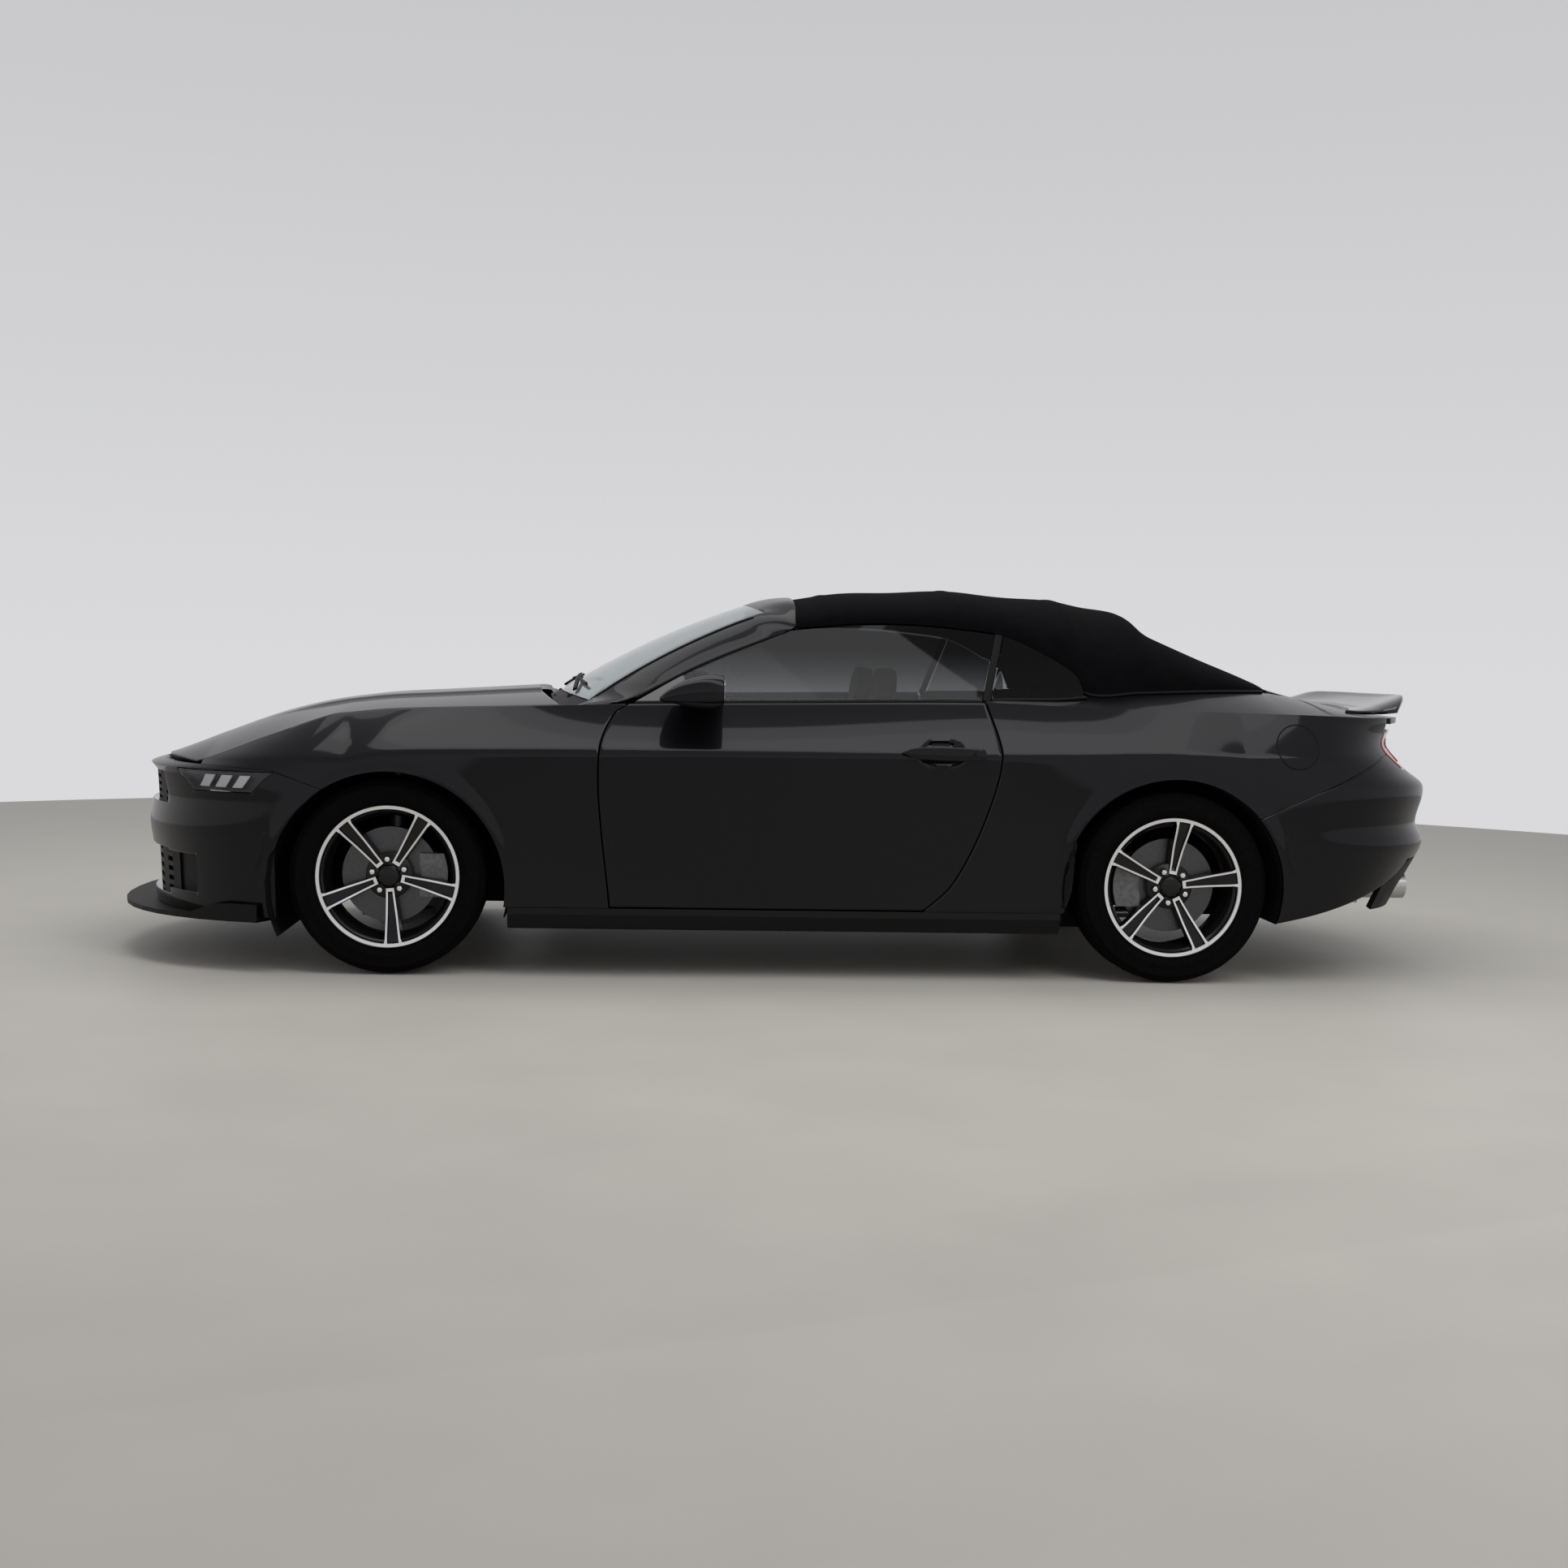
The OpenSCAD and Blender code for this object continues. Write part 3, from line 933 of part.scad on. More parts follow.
module seat(x, y, w, back_x, top) {
  translate([0, y + w / 2, 0]) rotate([90, 0, 0]) linear_extrude(w) polygon([
    [x, floor_top + seam], [x, floor_top + 190], [x - 30, floor_top + 245], [x - 90, floor_top + 255],
    [x - 420, floor_top + 225], [back_x + 100, top - 90], [back_x + 80, top - 10], [back_x + 20, top],
    [back_x - 20, top - 40], [x - 560, floor_top + 180], [x - 540, floor_top + seam]]);
}
seat_x = xf - 1060;
seat_back = xf - 1790;
seat_top = 905;
module front_seats() {
  color([0.05, 0.05, 0.05]) both_sides() {
    seat(seat_x, driver_y, seat_w, seat_back, seat_top);
    translate([0, driver_y + 140, 0]) rotate([90, 0, 0]) linear_extrude(280) polygon([
      [seat_back + 50, seat_top - 20], [seat_back + 78, seat_top + 40], [seat_back + 58, seat_top + 170],
      [seat_back + 20, seat_top + 185], [seat_back - 25, seat_top + 160], [seat_back - 20, seat_top - 20]]);
  }
}
module rear_seat() {
  color([0.05, 0.05, 0.05]) translate([0, housing_r_y - 40, 0]) rotate([90, 0, 0])
    linear_extrude(2 * housing_r_y - 80) polygon([
    [bulkhead_x + seam, tunnel_h + seam], [bulkhead_x + 560, tunnel_h + seam],
    [bulkhead_x + 560, tunnel_h + 110],
    [bulkhead_x + 520, tunnel_h + 140], [bulkhead_x + 190, tunnel_h + 105], [bulkhead_x + 110, belt_h - 60],
    [bulkhead_x + 60, belt_h - 20], [bulkhead_x + seam, belt_h - 25]]);
}

// Running gear
arm_z = ball[2] - 30;
module front_suspension() {
  color([0.15, 0.15, 0.15]) {
    box([xf - 220, -housing_f_y + 40, 150], [xf - 60, housing_f_y - 40, engine_low - seam]);
    both_sides() {
      box([xf - 160, housing_f_y - 90, engine_low - 60], [xf - 70, housing_f_y - 20, 380 - seam]);
      translate([0, 0, arm_z - 26]) linear_extrude(30) polygon([
        [xf - 120, housing_f_y - 50], [xf - 66, housing_f_y - 50], [xf, ball[1] - 100],
        [xf + 76, housing_f_y - 50],
        [xf + 130, housing_f_y - 50], [xf + 26, ball[1] + 8], [xf + 12, ball[1] + 24],
        [xf - 12, ball[1] + 24],
        [xf - 26, ball[1] + 8]]);
      box([xf + 60, housing_f_y - 90, 145], [xf + 150, housing_f_y - 20, 380 - seam]);
    }
  }
}
module rear_axle() {
  color([0.15, 0.15, 0.15]) {
    translate([xr, 0, axle_h - 20]) sphere(r = 105);
    translate([xr, 0, axle_h - 20]) rotate([0, 90, 0]) cylinder(r = 60, h = 200);
    pipe([xr + 190, 0, axle_h - 20], [xf - 1050 - 5 * seam, 0, 268], 34);
    box([xr - 120, -200, axle_h + 60], [xr + 120, 200, boot_floor - seam]);
    both_sides() {
      tube_y([xr, 0, axle_h], 22, rear_y - 60);
      tube_y([xr, rear_y - 110, axle_h], 58, 70);
      tube_y([xr, rear_y - 60, axle_h], 34 - pin_clear, 100);
      pipe([xr + 90, 150, axle_h - 90], [xr, rear_y - 80, axle_h - 45], 20);
      pipe([xr - 90, 150, axle_h + 70], [xr - 20, rear_y - 85, axle_h + 40], 16);
      box([xr + 70, 120, axle_h - 110], [xr + 115, 190, axle_h + 62]);
      caliper(rear_y, xr, 1);
    }
  }
}
module caliper(y, x0, side) {
  translate([x0, y, axle_h]) difference() {
    intersection() {
      tube_y([0, -46, 0], 198, 90);
      box([side * 150 - 48, -46, -75], [side * 150 + 48, 44, 75]);
    }
    tube_y([0, -9, 0], disc_r + 6, 38);
    tube_y([0, -60, 0], 108, 130);
  }
  translate([x0, y, axle_h]) box([min(side * 40, side * 120), -60, -30],
    [max(side * 40, side * 120), -40, 30]);
  translate([x0, y, axle_h]) box([side * 113 - 8, -60, -30], [side * 113 + 8, -30, 30]);
}
module knuckle() {
  tube_y([xf, front_y - 60, axle_h], 34 - pin_clear, 100);
  tube_y([xf, front_y - 105, axle_h], 60, 70);
  pipe(mix(ball, strut_top, -0.0327), mix(ball, strut_top, 0.2), 20);
  box([xf - 24, front_y - 178, axle_h + 30], [xf + 24, front_y - 60, axle_h + 100]);
  pipe([xf, front_y - 151, axle_h + 40], strut_top - [0, 0, 6], 25);
  pipe(mix([xf, front_y - 151, axle_h + 40], strut_top, 0.72),
    mix([xf, front_y - 151, axle_h + 40], strut_top, 0.96), 56);
  caliper(front_y, xf, -1);
}
module knuckle_left() { color([0.3, 0.3, 0.3]) knuckle(); }
module knuckle_right() { color([0.3, 0.3, 0.3]) mirror([0, 1, 0]) knuckle(); }

// Wheels, drawn about their own axis with the outer face up
half_w = tyre_w / 2;
flange = 106;
module tyre() {
  color([0.03, 0.03, 0.03]) rotate_extrude($fn = 128) polygon([
    [bead_r + 2 * seam, -flange + 4], [rim_r + 6, -flange - 2], [rim_r + 24, -half_w + 3],
    [rim_r + 48, -half_w],
    [tyre_r - 28, -half_w + 5], [tyre_r - 9, -half_w + 17], [tyre_r - 2, -half_w + 34], [tyre_r, -40],
    [tyre_r, 40], [tyre_r - 2, half_w - 34], [tyre_r - 9, half_w - 17], [tyre_r - 28, half_w - 5],
    [rim_r + 48, half_w], [rim_r + 24, half_w - 3], [rim_r + 6, flange + 2], [bead_r + 2 * seam, flange - 4],
    [bead_r + 2 * seam, flange - 30], [rim_r + 20, half_w - 18], [tyre_r - 34, half_w - 20],
    [tyre_r - 16, 40],
    [tyre_r - 16, -40], [tyre_r - 34, -half_w + 20], [rim_r + 20, -half_w + 18],
    [bead_r + 2 * seam, -flange + 30]]);
}
// Dish of the spokes: height of the face at radius r
hub_r = 74;
function dish(r) = wheel_face - 14 * pow(clamp(1 - (r - 60) / (rim_r - 90), 0, 1), 1.3);
module dish_solid(low, high) {
  rotate_extrude($fn = 128) polygon(concat([for (t = span(4)) let (r = 230 * t)
    [r, max(dish(r) + low, hub_face)]],
    [for (t = [1, 0.75, 0.5, 0.25, 0]) let (r = 230 * t) [r, dish(r) + high]]));
}
spoke_in = 26;
spoke_out = 30;
rib = 11;
module spoke_plan(edge) {
  polygon([[40, -spoke_in + edge], [225, -spoke_out + edge], [225, spoke_out - edge], [40, spoke_in - edge]]);
}
module rim() {
  color([0.5, 0.5, 0.52]) {
    rotate_extrude($fn = 128) polygon([
      [rim_r, flange + 6], [rim_r, flange], [bead_r, flange - 3], [bead_r, 74], [bead_r - 20, 52],
      [bead_r - 20, -40],
      [bead_r, -72], [bead_r, -flange + 3], [rim_r, -flange], [rim_r, -flange - 6], [rim_r - 8, -flange - 6],
      [bead_r - 8, -flange + 8], [bead_r - 28, -36], [bead_r - 28, 48], [bead_r - 22, 60],
      [rim_r - 26, wheel_face],
      [rim_r - 10, flange + 6]]);
    difference() {
      intersection() {
        union() {
          for (i = [0:spokes - 1]) rotate([0, 0, i * 360 / spokes]) linear_extrude(120) spoke_plan(0);
          cylinder(r = hub_r, h = 120);
        }
        dish_solid(-spoke_t, 0);
      }
      intersection() {
        for (i = [0:spokes - 1]) rotate([0, 0, i * 360 / spokes]) translate([hub_r - 10, 0, 0])
          linear_extrude(120)
          polygon([[6, -5], [140, -spoke_out + rib], [140, spoke_out - rib], [6, 5]]);
        dish_solid(-10, 30);
      }
    }
    translate([0, 0, hub_face]) cylinder(r = hub_r, h = 16);
    cylinder_at = dish(0);
    translate([0, 0, cylinder_at - 4]) cylinder(r = 33, h = 12);
    for (i = [0:4]) rotate([0, 0, (i + 0.5) * 72]) translate([nut_circle / 2, 0, hub_face + 10])
      cylinder(r = nut_r + 3, h = 30, $fn = 6);
  }
}
module disc() {
  color([0.45, 0.45, 0.45]) rotate_extrude($fn = 128) polygon([
    [34, hub_face - seam], [76, hub_face - seam], [76, 24], [disc_r, 24], [disc_r, -4], [84, -4], [68, 10],
    [68, hub_face - 9],
    [34, hub_face - 9]]);
}
module at_wheel(x, y) {
  if (y > 0) translate([x, y, axle_h]) rotate([-90, 0, 0]) children();
  else translate([x, y, axle_h]) mirror([0, 1, 0]) rotate([-90, 0, 0]) children();
}
// Turn of the spokes as the wheels stand
spoke_turn_f = 23;
spoke_turn_r = 45;
module tyre_front_left() { at_wheel(xf, front_y) tyre(); }
module tyre_front_right() { at_wheel(xf, -front_y) tyre(); }
module tyre_rear_left() { at_wheel(xr, rear_y) tyre(); }
module tyre_rear_right() { at_wheel(xr, -rear_y) tyre(); }
module rim_front_left() { at_wheel(xf, front_y) rotate([0, 0, spoke_turn_f]) rim(); }
module rim_front_right() { at_wheel(xf, -front_y) rotate([0, 0, spoke_turn_f]) rim(); }
module rim_rear_left() { at_wheel(xr, rear_y) rotate([0, 0, spoke_turn_r]) rim(); }
module rim_rear_right() { at_wheel(xr, -rear_y) rotate([0, 0, spoke_turn_r]) rim(); }
module disc_front_left() { at_wheel(xf, front_y) disc(); }
module disc_front_right() { at_wheel(xf, -front_y) disc(); }
module disc_rear_left() { at_wheel(xr, rear_y) disc(); }
module disc_rear_right() { at_wheel(xr, -rear_y) disc(); }

tub();
front_bumper();
grille();
fenders();
quarter_panels();
rear_bumper();
lower_trim();
cowl();
windshield_frame();
windshield();
soft_top();
rear_glass();
headlamps();
taillamps();
engine();
exhaust();
dashboard();
front_seats();
rear_seat();
steering_wheel();
front_suspension();
rear_axle();
tail_panel();
door_left();
door_right();
door_glass_left();
door_glass_right();
mirror_left();
mirror_right();
hood();
deck_lid();
spoiler();
knuckle_left();
knuckle_right();
tyre_front_left();
tyre_front_right();
tyre_rear_left();
tyre_rear_right();
rim_front_left();
rim_front_right();
rim_rear_left();
rim_rear_right();
disc_front_left();
disc_front_right();
disc_rear_left();
disc_rear_right();
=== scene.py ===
"""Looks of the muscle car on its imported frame. Row frame: +X forward, +Y left, +Z up, ground at z = 0."""
import math

import bpy
import numpy as np
from mathutils import Matrix


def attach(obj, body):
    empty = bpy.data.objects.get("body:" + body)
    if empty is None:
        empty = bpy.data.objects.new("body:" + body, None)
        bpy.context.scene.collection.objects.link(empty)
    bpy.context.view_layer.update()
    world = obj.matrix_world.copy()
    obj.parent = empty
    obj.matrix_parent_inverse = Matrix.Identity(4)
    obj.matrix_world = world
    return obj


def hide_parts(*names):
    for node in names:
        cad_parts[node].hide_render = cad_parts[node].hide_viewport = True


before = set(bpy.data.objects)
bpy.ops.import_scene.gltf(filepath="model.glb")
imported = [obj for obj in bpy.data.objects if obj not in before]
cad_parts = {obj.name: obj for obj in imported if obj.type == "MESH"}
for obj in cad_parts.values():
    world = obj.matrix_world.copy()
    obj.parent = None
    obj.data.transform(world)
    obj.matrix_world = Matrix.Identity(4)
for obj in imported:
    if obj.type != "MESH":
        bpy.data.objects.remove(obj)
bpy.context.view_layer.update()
scene = bpy.context.scene
BODY = "body"
MM = 0.001
SIDES = ((1, "left"), (-1, "right"))

# Body surface, in millimetres, from the same values as the solids
hw, sill_h, shoulder_h, belt_h, nose_h, roof_h = 958, 247, 787, 957, 700, 1392
shut_gap, seam, panel_t, floor_h = 6, 0.3, 20, 190
nose_x, tail_x, xf, xr = 2355, -2445, 1385, -1335
axle_h, front_y, rear_y, rim_r, tyre_r = 338, 791, 824, 246, 338
arch_f, arch_r = (400, axle_h - 38), (392, axle_h - 13)
nose_start, nose_power, tail_start, tail_power = xf + 140, 2.3, xr - 240, 2.8
# Side: x, half width at the foot, bulge below, half width and height of the shoulder, bulge above,
# half width at the crest
SIDE = [[x, hw - foot, low, hw - wide, shoulder_h + rise, high, hw - top]
        for x, foot, low, wide, rise, high, top in (
    (tail_start, 33, 10, 8, 10, -4, 75), (xr, 28, 12, 0, 18, -2, 62), (xr + 360, 30, 4, 6, 8, -8, 75),
    (xr + 660, 30, -4, 9, 3, -10, 90), ((xf + xr) / 2, 26, -10, 12, -3, -10, 96),
    (xf - 760, 28, -6, 13, -8, -8, 113), (xf - 380, 33, 0, 12, -11, -2, 138), (xf, 33, 8, 13, -25, 6, 163),
    (nose_start, 43, 10, 20, -50, 8, 173))]
CREST = [[x, belt_h + z] for x, z in (
    (tail_x, -22), (xr - 847, -19), (xr - 473, -9), (xr, -2), (xr + 360, 5), (xr + 660, 13),
    ((xf + xr) / 2, -1),
    (xf - 820, -14), (xf - 380, -31), (xf, -47), (xf + 140, -62), (xf + 215, -73), (xf + 420, -147))]
CREST += [[xf + 707, nose_h + 8], [nose_x, nose_h]]
HOOD = [[xf + d, belt_h + z] for d, z in (
    (-660, 39), (-530, 31), (-305, 15), (-135, 3), (130, -17), (460, -74), (680, -151))]
HOOD += [[xf + 880, nose_h + 24], [nose_x, nose_h + 2]]
# Nose and tail: height, and how far the middle stands back there
NOSE = [
    [floor_h, 25], [229, 20], [392, 12], [481, 0], [584, 12], [650, 0], [nose_h - 10, 4], [nose_h + 22, 105],
    [nose_h + 106, 305], [belt_h - 69, 515], [belt_h, 800],
]
TAIL = [
    [215, 150], [252, 130], [444, 14], [490, 0], [556, 30], [688, 5], [748, 80], [830, 160], [880, 150],
    [belt_h - 30, 112], [belt_h + 10, 112],
]
# Door edges: share of the door's height, and x
DOOR_FRONT = [[v, xf - d] for v, d in (
    (0, 760), (0.06, 755), (0.38, 728), (0.63, 715), (0.82, 724), (0.96, 770), (1, 815))]
DOOR_REAR = [[v, xr + d] for v, d in (
    (0, 880), (0.05, 835), (0.12, 785), (0.31, 710), (0.56, 644), (0.73, 620), (0.84, 630), (1, 670))]
# Inner edge of the quarter beside the lid and beside the glass: x, y, z
SHELF, LEDGE = ([[xr + d, hw - w, belt_h + e] for d, w, e in rows] for rows in (
    ((-835, 292, -20), (-700, 252, -8), (-465, 243, 36)), ((290, 194, 46), (425, 168, 30), (660, 125, 20))))
# Roof: x, half width, height of its edge and of its middle
ROOF = [[xr + d, hw - w, belt_h + e, roof_h - t] for d, w, e, t in (
    (-500, 620, 64, 351), (-390, 390, 68, 305), (-165, 255, 66, 203), (40, 222, 58, 92), (95, 216, 56, 60),
    (290, 196, 50, 28), (330, 222, 118, 24), (440, 266, 189, 16), (577, 300, 251, 6), (710, 316, 271, 0),
    (900, 326, 285, 3), (1090, 328, 284, 12), (1316, 322, 262, 48))]
POST = [[xf - 1385, belt_h + 260], [xf - 1048, belt_h + 118], [xf - 815, belt_h - 12]]
LID = [[xr + d, belt_h + z] for d, z in ((-990, -24), (-850, 2), (-700, 36), (-530, 66), (-330, 78))]
roof_front_x = ROOF[-1][0]


def curve(table, c, x):
    """Column c of a table, run smoothly through its rows, at x."""
    t = np.asarray(table, float)
    x = np.asarray(x, float)
    i = np.clip(np.searchsorted(t[:, 0], x, side="left") - 1, 0, len(t) - 2)
    lo, hi = np.maximum(np.arange(len(t)) - 1, 0), np.minimum(np.arange(len(t)) + 1, len(t) - 1)
    slope = (t[hi, c] - t[lo, c]) / (t[hi, 0] - t[lo, 0])
    h = t[i + 1, 0] - t[i, 0]
    s = np.clip((x - t[i, 0]) / h, 0, 1)
    a, b, da, db = t[i, c], t[i + 1, c], slope[i] * h, slope[i + 1] * h
    return a + da * s + (3 * (b - a) - 2 * da - db) * s**2 + (da + db - 2 * (b - a)) * s**3


def through(rows, t):
    """Smooth run through rows of values at fractional row numbers t."""
    rows = np.asarray(rows, float)
    table = np.column_stack([np.arange(len(rows)), rows])
    return np.stack([curve(table, c + 1, t) for c in range(rows.shape[1])], 1)


def mix(a, b, t):
    return a + (b - a) * t


def smooth(x, low, high):
    t = np.clip((x - low) / (high - low), 0, 1)
    return t * t * (3 - 2 * t)


def xyz(x, y, z):
    return np.stack(np.broadcast_arrays(x, y, z), -1)


def net(u, v):
    """u down the first axis and v along the second."""
    return u[:, None], v[None, :]


def rad(a):
    return np.radians(a)


def crest(x):
    return curve(CREST, 1, x)


def side_raw(x, z):
    zm = curve(SIDE, 4, x)
    low = np.clip((z - floor_h) / (zm - floor_h), 0, 1)
    high = np.clip((z - zm) / (crest(x) - zm), 0, 1.1)
    below = mix(curve(SIDE, 1, x), curve(SIDE, 3, x), low) + curve(SIDE, 2, x) * 4 * low * (1 - low)
    above = mix(curve(SIDE, 3, x), curve(SIDE, 6, x), high) + curve(SIDE, 5, x) * 4 * high * (1 - high)
    return np.where(z <= zm, below, above)


def side_y(x, z):
    """Half width of the side, its crease rounded by an average over nearby heights."""
    parts = [(-14, 1), (-7, 2), (0, 3), (7, 2), (14, 1)]
    return sum(w * side_raw(x, z + d) for d, w in parts) / 9


def nose_tip(z):
    return nose_x - curve(NOSE, 1, z)


def tail_tip(z):
    return tail_x + curve(TAIL, 1, z)


def rounded(u, n):
    return np.maximum(1 - np.clip(u, 0, 1) ** n, 0) ** (1 / n)


def skin_y(x, z):
    x, z = np.asarray(x, float), np.asarray(z, float)
    y = side_y(np.clip(x, tail_start, nose_start), z)
    ahead = rounded((x - nose_start) / (nose_tip(z) - nose_start), nose_power)
    behind = rounded((x - tail_start) / (tail_tip(z) - tail_start), tail_power)
    return y * np.where(x > nose_start, ahead, np.where(x < tail_start, behind, 1))


def flare(x, z):
    """Lip that stands out round the wheel openings."""
    out = 0
    for x0, (r, z0) in ((xf, arch_f), (xr, arch_r)):
        d = np.hypot(x - x0, z - z0) - r
        out = out + 5 * np.exp(-((d - 4) / 26) ** 2)
    return out


def flared(p):
    p[..., 1] += np.sign(p[..., 1]) * flare(p[..., 0], p[..., 2])
    return p


def skin(x, z):
    return xyz(x, skin_y(x, z) + flare(x, z), z)


def rounded_end(start, tip, power):
    """Skin point of a rounded end at an angle and a height, and the angle of a point at x and a height."""
    def at(a, z):
        a, z = np.asarray(a, float), np.asarray(z, float)
        x = start + (tip(z) - start) * np.cos(rad(a)) ** (2 / power)
        y = np.sign(a) * side_y(start + 0 * z, z) * np.abs(np.sin(rad(a))) ** (2 / power)
        return xyz(x, y, z)

    def angle(x, z):
        return np.degrees(np.arccos(np.clip((x - start) / (tip(z) - start), 0, 1) ** (power / 2)))
    return at, angle


nose_at, nose_angle = rounded_end(nose_start, nose_tip, nose_power)
tail_at, tail_angle = rounded_end(tail_start, tail_tip, tail_power)


def door_z(x, v):
    return mix(sill_h, crest(x), v)


def door_edge(t, v, dx):
    x = curve(t, 1, v) + dx
    return np.stack([x, door_z(x, v)], -1)


def glass_y(x, z):
    return (curve(SIDE, 6, np.clip(x, xr, xf)) - 36 - 0.7 * (z - crest(x))
            - np.clip((xr + 670 - x) / 380, 0, 1) * 22)


def roof_at(x, a):
    """Roof point at x and at a share a of its round, 1 at the left edge and 0 in the middle."""
    e = curve(ROOF, 2, x)
    q = rad(90 * (1 - np.abs(a)))
    y = np.sign(a) * curve(ROOF, 1, x) * np.cos(q) ** 0.8
    return xyz(x, y, e + (curve(ROOF, 3, x) - e) * np.sin(q) ** 0.8)


# Mesh making
def edged(n, e):
    """n even steps from 0 to 1 with a narrow step of e at both ends."""
    return np.concatenate([[0], np.linspace(e, 1 - e, n), [1]])


def grid_normals(p):
    n = np.cross(np.gradient(p, axis=0), np.gradient(p, axis=1))
    return n / (np.linalg.norm(n, axis=2, keepdims=True) + 1e-12)


def off(p, d):
    """Grid moved outwards by d."""
    return p + d * grid_normals(p)


def mirrored(p):
    return p[::-1] * [1, -1, 1]


def on_side(p, side):
    return p if side > 0 else mirrored(p)


class Mesh:
    def __init__(self):
        self.verts, self.faces, self.mats, self.count = [], [], [], 0

    def add(self, verts, faces, mat=0):
        verts = np.asarray(verts, float).reshape(-1, 3)
        for f in faces:
            self.faces.append(tuple(int(i) + self.count for i in f))
        self.mats += [mat] * len(faces)
        self.verts.append(verts)
        self.count += len(verts)

    def grid(self, p, mat=0, keep=None, loop_u=False, loop_v=False):
        nu, nv = p.shape[:2]
        iu, jv = np.meshgrid(np.arange(nu if loop_u else nu - 1), np.arange(nv if loop_v else nv - 1),
                             indexing="ij")
        if keep is not None:
            iu, jv = iu[keep], jv[keep]
        i, j = iu.ravel(), jv.ravel()
        i1, j1 = (i + 1) % nu, (j + 1) % nv
        self.add(p, np.stack([i * nv + j, i1 * nv + j, i1 * nv + j1, i * nv + j1], 1), mat)

    def shell(self, p, t, keep=None, lip=1.5, mat=0, inner=None, inner_mat=0, wall_mat=None, step=4):
        """Outer skin with rounded edges, walls of depth t behind its edges, and a coarser inner skin."""
        nu, nv = p.shape[:2]
        n = grid_normals(p)
        whole = keep is None
        keep = np.ones((nu - 1, nv - 1), bool) if whole else keep
        pad = np.zeros((nu + 1, nv + 1), int)
        pad[1:-1, 1:-1] = keep
        around = pad[:-1, :-1] + pad[1:, :-1] + pad[:-1, 1:] + pad[1:, 1:]
        edge = (around > 0) & (around < 4)
        o = p - n * lip * edge[..., None]
        w = inner if inner is not None else p - n * t
        self.grid(o, mat, keep)
        ids = np.arange(nu * nv).reshape(nu, nv)
        total, quads = nu * nv, []
        has = pad.astype(bool)
        for di, dj, first, second in ((0, -1, (0, 0), (1, 0)), (1, 0, (1, 0), (1, 1)), (0, 1, (1, 1), (0, 1)),
                                      (-1, 0, (0, 1), (0, 0))):
            open_side = keep & ~has[1 + di:nu + di, 1 + dj:nv + dj]
            i, j = np.nonzero(open_side)
            a, b = ids[i + first[0], j + first[1]], ids[i + second[0], j + second[1]]
            quads.append(np.stack([a, a + total, b + total, b], 1))
        quads = np.concatenate(quads)
        used, compact = np.unique(quads, return_inverse=True)
        points = np.concatenate([o.reshape(-1, 3), w.reshape(-1, 3)])[used]
        self.add(points, compact.reshape(quads.shape), mat if wall_mat is None else wall_mat)
        if whole:
            ui = np.unique(np.append(np.arange(0, nu, step), nu - 1))
            vi = np.unique(np.append(np.arange(0, nv, step), nv - 1))
            self.grid(w[np.ix_(ui, vi)][::-1], inner_mat)

    def sweep(self, path, section, ups=(0, 0, 1), mat=0, closed=False):
        """A closed section of (across, up) points carried along a path."""
        path = np.asarray(path, float)
        d = np.gradient(path, axis=0) if not closed else np.roll(path, -1, 0) - np.roll(path, 1, 0)
        d /= np.linalg.norm(d, axis=1, keepdims=True) + 1e-12
        up = np.broadcast_to(np.asarray(ups, float), path.shape)
        across = np.cross(d, up)
        across /= np.linalg.norm(across, axis=1, keepdims=True) + 1e-12
        up = np.cross(across, d)
        s = np.asarray(section, float)
        p = path[:, None] + s[None, :, :1] * across[:, None] + s[None, :, 1:] * up[:, None]
        if closed:
            self.grid(p, mat, loop_u=True, loop_v=True)
        else:
            self.tube(p, mat, 1)

    def tube(self, p, mat=0, turn=-1):
        """Rings joined along p's first axis, with both ends closed."""
        ring = tuple(range(p.shape[1]))[::turn]
        self.grid(p, mat, loop_v=True)
        self.add(p[0], [ring], mat)
        self.add(p[-1], [ring[::-1]], mat)

    def lathe(self, profile, n, mat=0, place=None):
        a = np.linspace(0, 2 * np.pi, n, endpoint=False)[:, None]
        r, h = np.asarray(profile, float).T
        p = xyz(r * np.cos(a), r * np.sin(a), h)
        self.grid(p if place is None else place(p), mat, loop_u=True)

    def flip(self, side):
        """Mirror what was made for the left if side is the right."""
        if side < 0:
            self.verts = [v * [1, -1, 1] for v in self.verts]
            self.faces = [f[::-1] for f in self.faces]

    def build(self, name, mats, sharp=38):
        me = bpy.data.meshes.new(name)
        me.from_pydata((np.concatenate(self.verts) * MM).tolist(), [], self.faces)
        for m in mats:
            me.materials.append(m)
        me.polygons.foreach_set("material_index", self.mats)
        me.polygons.foreach_set("use_smooth", [True] * len(self.faces))
        me.update()
        me.set_sharp_from_angle(angle=math.radians(sharp))
        ob = bpy.data.objects.new(name, me)
        scene.collection.objects.link(ob)
        return ob

    def make(self, name, body, mats, slot, replaces=None, sharp=38):
        ob = self.build(name, mats, sharp)
        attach(ob, body)
        if replaces:
            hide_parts(replaces)
        return ob


def oval(a, b, n=12, power=2.0):
    t = np.linspace(0, 2 * np.pi, n, endpoint=False)
    c, s = np.cos(t), np.sin(t)
    return np.stack([a * np.sign(c) * np.abs(c) ** (2 / power), b * np.sign(s) * np.abs(s) ** (2 / power)], 1)


def patch(corners, nu=14, nv=14):
    """Even grid between four corners, in order: first low, last low, last high, first high."""
    a, b, c, d = (np.asarray(q, float) for q in corners)
    u, v = np.linspace(0, 1, nu)[:, None, None], np.linspace(0, 1, nv)[None, :, None]
    return mix(mix(a, b, u), mix(d, c, u), v)


